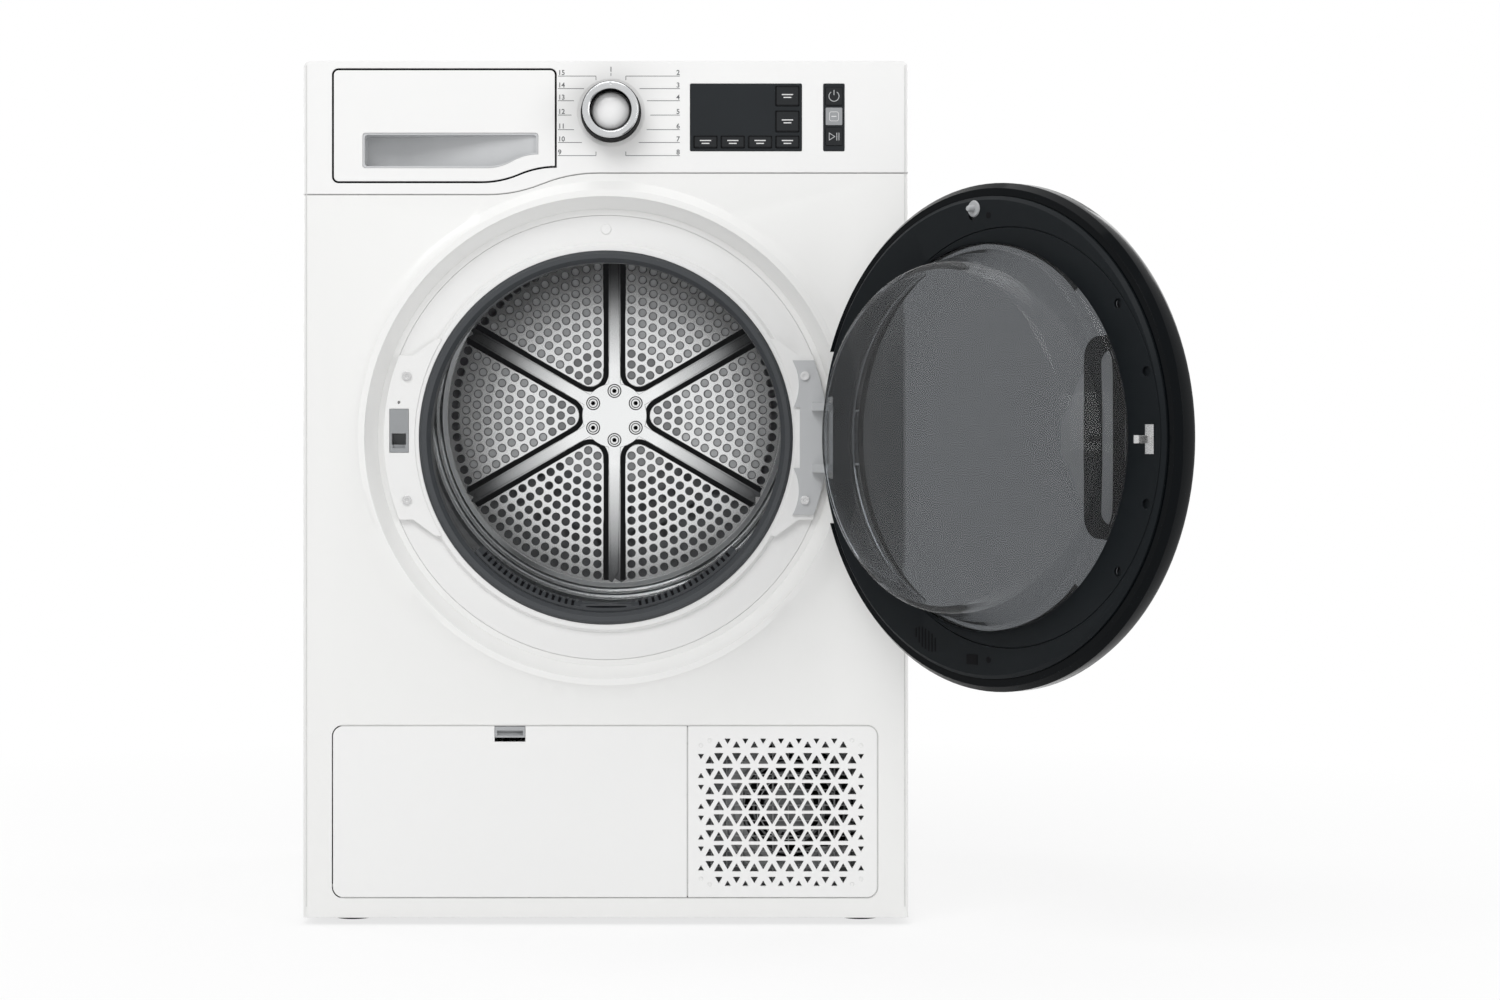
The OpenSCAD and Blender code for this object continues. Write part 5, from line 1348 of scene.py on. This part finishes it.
@dataclass
class Drum:
    """Perforated back with spokes, shell, lifters and hub bolts, and the plates behind its holes."""

    axis: Vector = field(default_factory=lambda: Vector(DRUM_CENTRE))
    face: float = 0.220
    valley: float = 0.013
    apex: float = 0.015
    outer: float = 0.190
    edge_steps: int = 9
    apex_steps: int = 12
    # Offsets and depths of the dark strips of painted shade in the sector creases.
    groove_offsets: tuple[float, float] = (0.0004, 0.0062)
    groove_depths: tuple[float, float] = (-0.0006, 0.0022)
    spoke_rise: float = 0.0024
    valley_depths: tuple[float, float] = (0.0020, 0.0026)
    hub_rise: float = 0.0034
    ring_sink: float = 0.0003
    duct_radii: tuple[float, float] = (0.076, 0.181)
    duct_depths: tuple[float, float] = (0.0045, 0.0008)
    duct_turn: tuple[float, float, float] = (72, -25.0, 230.0)
    boss_radii: tuple[float, float] = (0.030, 0.0785)
    boss_depths: tuple[float, float] = (0.0032, 0.0004)
    boss_steps: int = 72

    def build(self) -> None:
        """Builds the drum's visible pieces."""
        back = refined_copy("drum_back", "drum_steel", Body.DRUM, angle=30)
        # The hub, the spokes and the valleys inside the outer radius take the steel with the painted shade.
        back.data.materials.append(PALETTE["spoke_steel"])
        for face in back.data.polygons:
            depth = face.center.y - self.face
            spoke = depth < -self.spoke_rise or self.valley_depths[0] < depth < self.valley_depths[1]
            if spoke and (face.center - self.axis).xz.length < self.outer:
                face.material_index = 1
        refined_copy("drum_shell", "shell_steel", Body.DRUM)
        dress({"drum_lifters": "lifter_grey"})
        refined_copy("hub_bolts", "drum_steel", Body.DRUM)
        place = Matrix.Translation((self.axis.x, self.face, self.axis.z))
        hole_rim_tree().make("perforation_rims", Body.DRUM, place)
        # Painted shade in the creases round the sectors.
        self.grooves()
        self.bolt_rings()
        self.backing()

    def bolt_rings(self) -> None:
        """Draws the painted shade rings and socket discs on the hub's bolts."""
        hub = self.face - self.hub_rise
        place = (Matrix.Translation((self.axis.x, hub, self.axis.z)) @ Matrix.Rotation(math.pi / 2, 4, "X")
                 @ Matrix.Rotation(math.pi / 6, 4, "Z"))
        rise = (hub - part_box("hub_bolts")[0].y - self.ring_sink) / 2
        bolt_ring_tree().make("bolt_rings", Body.DRUM, place, Rise=rise)

    def backing(self) -> None:
        """Stands the boss's face and the air duct's plate, open in its lower part, behind the holes."""
        gap, thickness = self.duct_depths
        y = self.face + gap
        duct = washer(*self.duct_radii, y, y + thickness, self.axis, *self.duct_turn)
        add_piece("duct_plate", duct, "duct_steel", Body.CABINET)
        gap, thickness = self.boss_depths
        y = self.face + gap
        boss = washer(*self.boss_radii, y, y + thickness, self.axis, self.boss_steps)
        add_piece("boss_face", boss, "boss_steel", Body.DRUM)

    def outline(self, grow: float) -> list[Point]:
        """Makes the open outline of one sector from rim to rim, round its apex.

        Args:
            grow: Distance by which the outline lies outside the sector.

        Returns:
            Points (x, z) about the drum's axis.
        """
        d = self.valley - grow
        centre = 2 * (self.valley + self.apex)
        length = math.sqrt(self.outer ** 2 - d ** 2)
        edges = []
        for side in (1, -1):
            spoke = math.radians(30 * side)
            away = spoke - side * math.pi / 2
            edge = []
            for i in range(self.edge_steps + 1):
                along = length + (centre * math.cos(math.pi / 6) - length) * i / self.edge_steps
                edge.append((along * math.cos(spoke) + d * math.cos(away),
                             along * math.sin(spoke) + d * math.sin(away)))
            edges.append(edge)
        tip = arc(centre, 0.0, self.apex + grow, 120, 120, self.apex_steps)[1:-1]
        return edges[0] + tip + edges[1][::-1]

    def grooves(self) -> None:
        """Lays a dark strip in the crease round each sector, as painted shade."""
        inner, outer = (self.outline(grow) for grow in self.groove_offsets)
        parts = []
        for sector in range(6):
            crease = band(inner, outer, *self.groove_depths, closed=False)
            crease.transform(Matrix.Rotation(-sector * math.pi / 3, 4, "Y"))
            parts.append(crease)
        place = Matrix.Translation((self.axis.x, self.face, self.axis.z))
        add_piece("sector_creases", joined(parts), "crease_dark", Body.DRUM, place)


@dataclass
class Mouth:
    """Dark loading ring, lint filter, latch, hinge plate and their screws."""

    rib_pitch: float = 2.3
    rib_width: float = 0.9
    rib_radius: float = 0.1698
    rib_profile: tuple[Point, ...] = ((0.0, -0.0002), (-0.0043, 0.0078), (-0.0036, 0.0086), (0.0, 0.001))
    last_rib: int = 20
    grip_ribs: int = 4

    def build(self) -> None:
        """Dresses the mouth."""
        refined_copy("loading_ring", "ring_grey", Body.CABINET)
        dress({"filter_housing": "filter_grey"})
        refined_copy("lint_filter", "filter_grey", Body.FILTER)
        dress({"filter_mesh": "filter_cloth", "latch_housing": "latch_grey"})
        refined_copy("hinge_plate", "hinge_grey", Body.CABINET)
        refined_copy("front_screws", "bright_steel", Body.CABINET)
        self.filter_ribs()

    def filter_ribs(self) -> None:
        """Lays dark ribs on the filter's sloped front edge, on both sides of its grip."""
        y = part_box("lint_filter")[0].y
        profile = [(self.rib_radius + dr, y + dy) for dr, dy in self.rib_profile]
        ribs = []
        for i in range(-self.last_rib, self.last_rib + 1):
            if abs(i) > self.grip_ribs:
                start = 270 - self.rib_width / 2 + i * self.rib_pitch
                ribs.append(lathe(profile, Vector(OPENING_CENTRE), 1, start, self.rib_width))
        add_piece("filter_ribs", joined(ribs), "pocket_dark", Body.FILTER)


@dataclass
class ServiceArea:
    """Service flap, catch and vent grille, what lies behind them, and the pale strips in the seams."""

    fan_hole: float = 0.049
    fan_arc: tuple[float, float, int] = (118, 190, 18)
    guard_rings: tuple[float, ...] = (0.0125, 0.031)
    ring_width: float = 0.0012
    ring_depths: tuple[float, float] = (0.003, 0.002)
    ring_steps: int = 40
    guard_corner: tuple[float, float, float] = (0.008, 0.0195, 0.012)
    guard_margins: tuple[float, float] = (0.016, 0.022)
    shroud_margins: Box = (0.004, 0.008, 0.011, 0.008)
    shroud_depth: float = 0.0225
    shroud_thickness: float = 0.001
    sill: float = 0.0272
    height: float = 0.1679
    split: float = 0.0803
    split_width: float = 0.0009
    split_inset: float = 0.001
    seam: float = 0.00012
    sill_seam: float = 0.0004
    strip: float = 0.00112
    strip_corners: tuple[float, float] = (0.0102, 0.0111)
    strip_depths: tuple[float, float] = (0.0005, 0.001)
    step: Box = (-0.116, 0.7171, -0.008, 0.7383)
    step_end: float = 0.2955
    step_width: float = 0.0006
    edge: float = 0.2938
    edge_width: float = 0.0008
    edge_ends: tuple[float, float] = (0.0180, 0.8440)
    edge_proud: float = 0.0001
    line_corner: float = 0.0002

    def build(self) -> None:
        """Builds the lower panel."""
        refined_copy("flap", "white_panel", Body.FLAP)
        dress({"flap_catch": "light_grey", "vent_grille": "white_panel"})
        low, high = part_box("vent_grille")
        place = Matrix.Translation(low + Vector(self.guard_corner))
        across, up = self.guard_margins
        guard_tree().make("guard_mesh", Body.CABINET, place, Across=high.x - low.x - across,
                          High=high.z - low.z - up)
        self.shroud(low, high)
        self.seams(high.x)

    def shroud(self, low: Vector, high: Vector) -> None:
        """Stands the fan's shroud and the rings of its guard behind the grille.

        Args:
            low: Lowest corner of the grille.
            high: Highest corner of the grille.
        """
        fan_low, fan_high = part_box("cooling_fan")
        centre = (fan_low + fan_high) / 2
        left, right, bottom, top = self.shroud_margins
        x0, x1, z0, z1 = low.x + left, high.x - right, low.z + bottom, high.z - top
        hole = arc(centre.x, centre.z, self.fan_hole, *self.fan_arc)
        outline = [(x0, z1), (hole[0][0], z1), *hole, (x1, hole[-1][1]), (x1, z0), (x0, z0)]
        y = low.y + self.shroud_depth
        plate = prism(outline, y, y + self.shroud_thickness)
        add_piece("fan_shroud", plate, "shroud_grey", Body.CABINET)
        near, far = (y - depth for depth in self.ring_depths)
        rings = [washer(r, r + self.ring_width, near, far, centre, self.ring_steps) for r in self.guard_rings]
        add_piece("guard_rings", joined(rings), "guard_grey", Body.CABINET)

    def upright(self, x: float, width: float, z0: float, z1: float, y0: float, y1: float) -> BMesh:
        """Returns an upright strip about x, between two heights and two depths."""
        outline = rounded(x - width / 2, z0, x + width / 2, z1, self.line_corner, 1)
        return prism(outline, y0, y1)

    def seams(self, right: float) -> None:
        """Lays pale strips in the seams round the flap and under the fascia, and at the front's edges.

        Args:
            right: The right side of the grille.
        """
        x0, z0, x1, z1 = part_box("flap")[0].x, self.sill, right, self.sill + self.height
        near, far = (FRONT + depth for depth in self.strip_depths)
        seam, strip = self.seam, self.strip
        inner_corner, outer_corner = self.strip_corners
        inner = rounded(x0 - seam, z0 - self.sill_seam, x1 + seam, z1 + seam, inner_corner)
        outer = rounded(x0 - strip, z0 - strip, x1 + strip, z1 + strip, outer_corner)
        line = [(-self.step_end, self.step[1]), *rising_line(*self.step), (self.step_end, self.step[3])]
        under_fascia = line + [(x, z + self.step_width) for x, z in reversed(line)]
        parts = [band(inner, outer, near, far),
                 self.upright(self.split, self.split_width, z0 + self.split_inset, z1 - self.split_inset,
                              near, far),
                 prism(under_fascia, near, far)]
        for x in (-self.edge, self.edge):
            parts.append(self.upright(x, self.edge_width, *self.edge_ends, FRONT - self.edge_proud, far))
        add_piece("panel_seams", joined(parts), "seam_grey", Body.CABINET)


@dataclass
class Door:
    """The round door: rim, window, frame, bowl, handle, hinge leaf, striker and small trim.

    Its own pieces are laid out as on the shut door and swung open. An angle is counted in degrees
    from the free side, positive upwards, and a depth from the front or from the inner frame.
    """

    open_angle: float = 129.0
    centre: Vector = field(default_factory=lambda: Vector(OPENING_CENTRE))
    inner_face: float = 0.008
    root: float = 0.001
    small_steps: int = 16
    grip_corners: tuple[tuple[float, float, float], ...] = ((-0.112, 0.090, 0.020), (-0.133, 0.077, 0.012))
    grip_side: float = -0.151
    grip_depths: tuple[float, float] = (0.0105, 0.007)
    facing: float = 0.98
    window_radius: float = 0.1785
    window_depths: tuple[float, float] = (0.0012, 0.0006)
    crescent_turn: tuple[float, float, int] = (50.0, 46.0, 16)
    crescent_widths: tuple[float, float] = (0.0088, 0.0004)
    peg: tuple[float, float] = (92.8, 0.210)
    peg_foot: tuple[Point, ...] = ((0.0, 0.0012), (0.0068, 0.0012), (0.0078, -0.0002), (0.0, -0.0002))
    peg_pin: tuple[Point, ...] = ((0.0, 0.0084), (0.0022, 0.0080), (0.003, 0.0062), (0.0034, 0.0), (0.0, 0.0))
    foot_steps: int = 32
    pin_steps: int = 24
    blank_plate: tuple[float, ...] = (-93.5, 0.204, 0.0072, 0.0046, 0.0003)
    dots: tuple[tuple[float, ...], ...] = (
        (87.6, 0.203, 0.003, 0.0002, -0.001), (-87.6, 0.203, 0.003, 0.0002, -0.001),
        (16, 0.208, 0.005, -0.0049, -0.0041), (-16, 0.208, 0.005, -0.0049, -0.0041),
        (35, 0.204, 0.005, -0.0049, -0.0041), (-35, 0.204, 0.005, -0.0049, -0.0041))
    vent_angle: float = -111.5
    vent_pitch: float = 1.3
    vent_radius: float = 0.202
    vent_half_width: float = 0.0008
    vent_half_heights: tuple[float, ...] = (0.0045, 0.0075, 0.0095, 0.0095, 0.0095, 0.0085, 0.0065)
    vent_proud: float = 0.0003
    seal_radii: tuple[float, float] = (0.1780, 0.1802)
    seal_depth: float = 0.0115

    def __post_init__(self) -> None:
        """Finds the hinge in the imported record."""
        joint = next(j for j in frame["joints"] if j["name"] == "door_hinge")
        pivot = Vector(joint["pos_m"])
        self.swing = (Matrix.Translation(pivot) @ Matrix.Rotation(math.radians(self.open_angle), 4, "Z")
                      @ Matrix.Translation(-pivot))

    def build(self) -> None:
        """Builds the door's pieces."""
        refined_copy("door_rim", "black_gloss", Body.DOOR)
        refined_copy("door_glass", "tinted_window", Body.DOOR)
        refined_copy("door_frame", "door_grey", Body.DOOR)
        self.handle()
        refined_copy("hinge_leaf", "hinge_grey", Body.DOOR)
        refined_copy("striker", "bright_steel", Body.DOOR)
        refined_copy("door_bowl", "smoked_bowl", Body.DOOR, angle=50)
        self.locating_peg()
        self.frame_details()
        self.window_edge()

    def add(self, name: str, bm: BMesh, finish: str) -> None:
        """Adds a piece that was laid out on the shut door."""
        add_piece(name, bm, finish, Body.DOOR, self.swing)

    def handle(self) -> None:
        """Smooths the handle's pocket, gives its inner plate a paler finish and adds the grip's band."""
        pocket = refined_copy("door_handle", "black_gloss", Body.DOOR)
        pocket.data.materials.append(PALETTE["handle_back"])
        inward = self.swing.to_3x3() @ Vector((0.0, 1.0, 0.0))
        for face in pocket.data.polygons:
            if face.normal.dot(inward) > self.facing:
                face.material_index = 1
        lines = []
        for x, z, r in self.grip_corners:
            half = [(self.grip_side, z), *arc(x - r, z - r, r, 90, -90, 6)]
            upper = [(p, self.centre.z + q) for p, q in half]
            lines.append(upper + [(p, self.centre.z - q) for p, q in reversed(half)])
        near, far = (FRONT - depth for depth in self.grip_depths)
        self.add("handle_band", prism(lines[0] + lines[1][::-1], near, far), "black_gloss")

    def at(self, angle: float, radius: float) -> Vector:
        """Returns a point on the shut door's inner frame at a distance from the door's centre."""
        a = math.radians(angle)
        return Vector((-radius * math.cos(a), FRONT + self.inner_face, self.centre.z + radius * math.sin(a)))

    def plate(self, angle: float, radius: float, half_x: float, half_z: float, proud: float) -> BMesh:
        """Returns a small flat block on the frame, given by its place and its half width and height."""
        p = self.at(angle, radius)
        return slab(p.x - half_x, p.z - half_z, p.x + half_x, p.z + half_z, p.y - self.root, p.y + proud)

    def locating_peg(self) -> None:
        """Adds the peg with its round foot."""
        p = self.at(*self.peg)
        foot = lathe([(r, p.y + rise) for r, rise in self.peg_foot], p, self.foot_steps)
        pin = lathe([(r, p.y + rise) for r, rise in self.peg_pin], p, self.pin_steps)
        self.add("locating_peg", joined([foot, pin]), "peg_grey")

    def frame_details(self) -> None:
        """Adds the blank plate, the dark dots, the discs behind the frame's holes and the vent ribs."""
        dark = [self.plate(*self.blank_plate)]
        for angle, radius, size, front, back in self.dots:
            p = self.at(angle, radius)
            dark.append(washer(0.0, size, p.y + front, p.y + back, p, self.small_steps))
        middle = len(self.vent_half_heights) // 2
        for i, half in enumerate(self.vent_half_heights):
            angle = self.vent_angle + (i - middle) * self.vent_pitch
            dark.append(self.plate(angle, self.vent_radius, self.vent_half_width, half, self.vent_proud))
        self.add("frame_details", joined(dark), "pocket_dark")

    def crescent(self, side: int) -> BMesh:
        """Makes one of the two dark crescents at the edge of the window.

        Args:
            side: 1 for the upper and -1 for the lower one.

        Returns:
            The crescent.
        """
        inner, outer = [], []
        start, sweep, steps = self.crescent_turn
        widest, narrowest = self.crescent_widths
        for i in range(steps + 1):
            angle = side * (start + sweep * i / steps)
            width = widest * (1 - i / steps) + narrowest
            for line, r in ((inner, self.window_radius - width), (outer, self.window_radius)):
                p = self.at(angle, r)
                line.append((p.x, p.z))
        near, far = (FRONT - depth for depth in self.window_depths)
        return prism(inner + outer[::-1], near, far)

    def window_edge(self) -> None:
        """Adds the seal round the bowl and the window's crescents."""
        y = FRONT - self.window_depths[1]
        seal = washer(*self.seal_radii, y, y - self.seal_depth, self.centre)
        self.add("bowl_seal", joined([seal, self.crescent(1), self.crescent(-1)]), "pocket_dark")


# ----------------------------------------------------------------- studio


@dataclass(frozen=True)
class Lamp:
    """A soft rectangular lamp with its place, the point it faces, its width and height, and its power."""

    name: str
    place: tuple[float, float, float]
    target: tuple[float, float, float]
    size: tuple[float, float]
    watts: float

    def hang(self) -> None:
        """Hangs the lamp in the scene."""
        data = bpy.data.lights.new(self.name, "AREA")
        data.shape = "RECTANGLE"
        data.size, data.size_y = self.size
        data.energy = self.watts
        obj = bpy.data.objects.new(self.name, data)
        bpy.context.scene.collection.objects.link(obj)
        obj.location = self.place
        obj.rotation_euler = (Vector(self.target) - Vector(self.place)).to_track_quat("-Z", "Y").to_euler()


@dataclass
class Studio:
    """Floor, world, lamps and camera."""

    white: tuple[float, ...] = (1.0, 1.0, 1.0, 1.0)
    ambient: float = 0.46
    floor_colour: tuple[float, ...] = (0.86, 0.86, 0.86, 1.0)
    floor_radius: float = 9.0
    floor_sides: int = 96
    fade_start: float = 0.5
    fade_end: float = 1.6
    glow_near: float = 0.76
    distance: float = 3.0
    camera_x: float = 0.0582
    camera_z: float = 0.478
    sensor: float = 36.0
    lens: float = 73.33
    sight: float = 60.0
    shift: tuple[float, float] = (0.0567, -0.0413)
    lamps: tuple[Lamp, ...] = (
        Lamp("key", (-0.9, -2.7, 2.8), (0.05, -0.2, 0.5), (2.2, 1.6), 54),
        Lamp("fill", (2.6, -2.4, 0.9), (0.1, -0.2, 0.35), (1.6, 1.6), 26),
        Lamp("top", (0.0, 0.1, 3.2), (0.0, 0.0, 0.8), (2.4, 2.4), 24),
        Lamp("back_left", (-2.6, 1.4, 1.4), (-0.2, 0.2, 0.5), (1.6, 1.8), 22),
        Lamp("back_right", (2.4, 2.4, 1.6), (0.1, 0.2, 0.5), (1.8, 1.8), 26))

    def build(self) -> None:
        """Builds the studio."""
        self.floor()
        self.world()
        for lamp in self.lamps:
            lamp.hang()
        self.camera()
        bpy.context.scene.view_settings.view_transform = "Standard"

    def seen_by_eye(self, tree: NodeTree) -> Socket:
        """Adds a socket that is 1 on camera, mirror and glass rays and 0 on the rest.

        Args:
            tree: The node tree to add it to.

        Returns:
            The socket.
        """
        rays = tree.node("ShaderNodeLightPath").outputs
        glass = tree.math("MAXIMUM", rays["Is Camera Ray"], rays["Is Transmission Ray"])
        return tree.math("MAXIMUM", glass, rays["Is Glossy Ray"])

    def mixed(self, tree: NodeTree, *inputs: Socket) -> Socket:
        """Mixes two shaders.

        Args:
            tree: The node tree.
            *inputs: The factor and the two shaders.

        Returns:
            The mixed shader.
        """
        node = tree.nodes.new("ShaderNodeMixShader")
        for socket, value in zip(node.inputs, inputs):
            tree.feed(socket, value)
        return node.outputs[0]

    def floor(self) -> None:
        """Lays a white floor that fades into the white world far from the object."""
        bm = bmesh.new()
        bmesh.ops.create_circle(bm, cap_ends=True, segments=self.floor_sides, radius=self.floor_radius)
        mesh = plain_mesh(bm, "floor")
        material = bpy.data.materials.new("floor_white")
        material.use_nodes = True
        tree = NodeTree(material.node_tree)
        diffuse = tree.out("ShaderNodeBsdfDiffuse", Color=self.floor_colour)
        glow = tree.out("ShaderNodeEmission", Color=self.white)
        reach = tree.length(tree.node("ShaderNodeTexCoord").outputs["Object"])
        fade = tree.node("ShaderNodeMapRange", Value=reach, From_Min=self.fade_start, From_Max=self.fade_end,
                         To_Min=self.glow_near, To_Max=1.0).outputs["Result"]
        factor = tree.times(fade, self.seen_by_eye(tree))
        tree.node("ShaderNodeOutputMaterial", Surface=self.mixed(tree, factor, diffuse, glow))
        mesh.materials.append(material)
        floor = bpy.data.objects.new("floor", mesh)
        bpy.context.scene.collection.objects.link(floor)

    def world(self) -> None:
        """Gives a white surround to the camera and a softer one to the object."""
        world = bpy.data.worlds.new("studio_world")
        bpy.context.scene.world = world
        world.use_nodes = True
        tree = NodeTree(world.node_tree)
        light = tree.out("ShaderNodeBackground", Color=self.white, Strength=self.ambient)
        white = tree.out("ShaderNodeBackground", Color=self.white, Strength=1.0)
        surround = self.mixed(tree, self.seen_by_eye(tree), light, white)
        tree.node("ShaderNodeOutputWorld", Surface=surround)

    def camera(self) -> None:
        """Sets the camera square to the front, with the framing shift."""
        data = bpy.data.cameras.new("camera")
        data.sensor_width = self.sensor
        data.lens = self.lens
        data.shift_x, data.shift_y = self.shift
        data.clip_end = self.sight
        obj = bpy.data.objects.new("camera", data)
        bpy.context.scene.collection.objects.link(obj)
        obj.location = (self.camera_x, FRONT - self.distance, self.camera_z)
        obj.rotation_euler = (math.pi / 2, 0, 0)
        bpy.context.scene.camera = obj


def main() -> None:
    """Builds every assembly in order and reports each piece."""
    logging.basicConfig(level=logging.INFO, format="%(name)s: %(message)s")
    for kind in (Studio, Cabinet, ControlPanel, WaterTank, Drum, Mouth, ServiceArea, Door):
        assembly = kind()
        before = set(bpy.data.objects.keys())
        assembly.build()
        for name in sorted(set(bpy.data.objects.keys()) - before):
            LOG.info("%s: %s", kind.__name__, name)


if __name__ == "__main__":
    main()
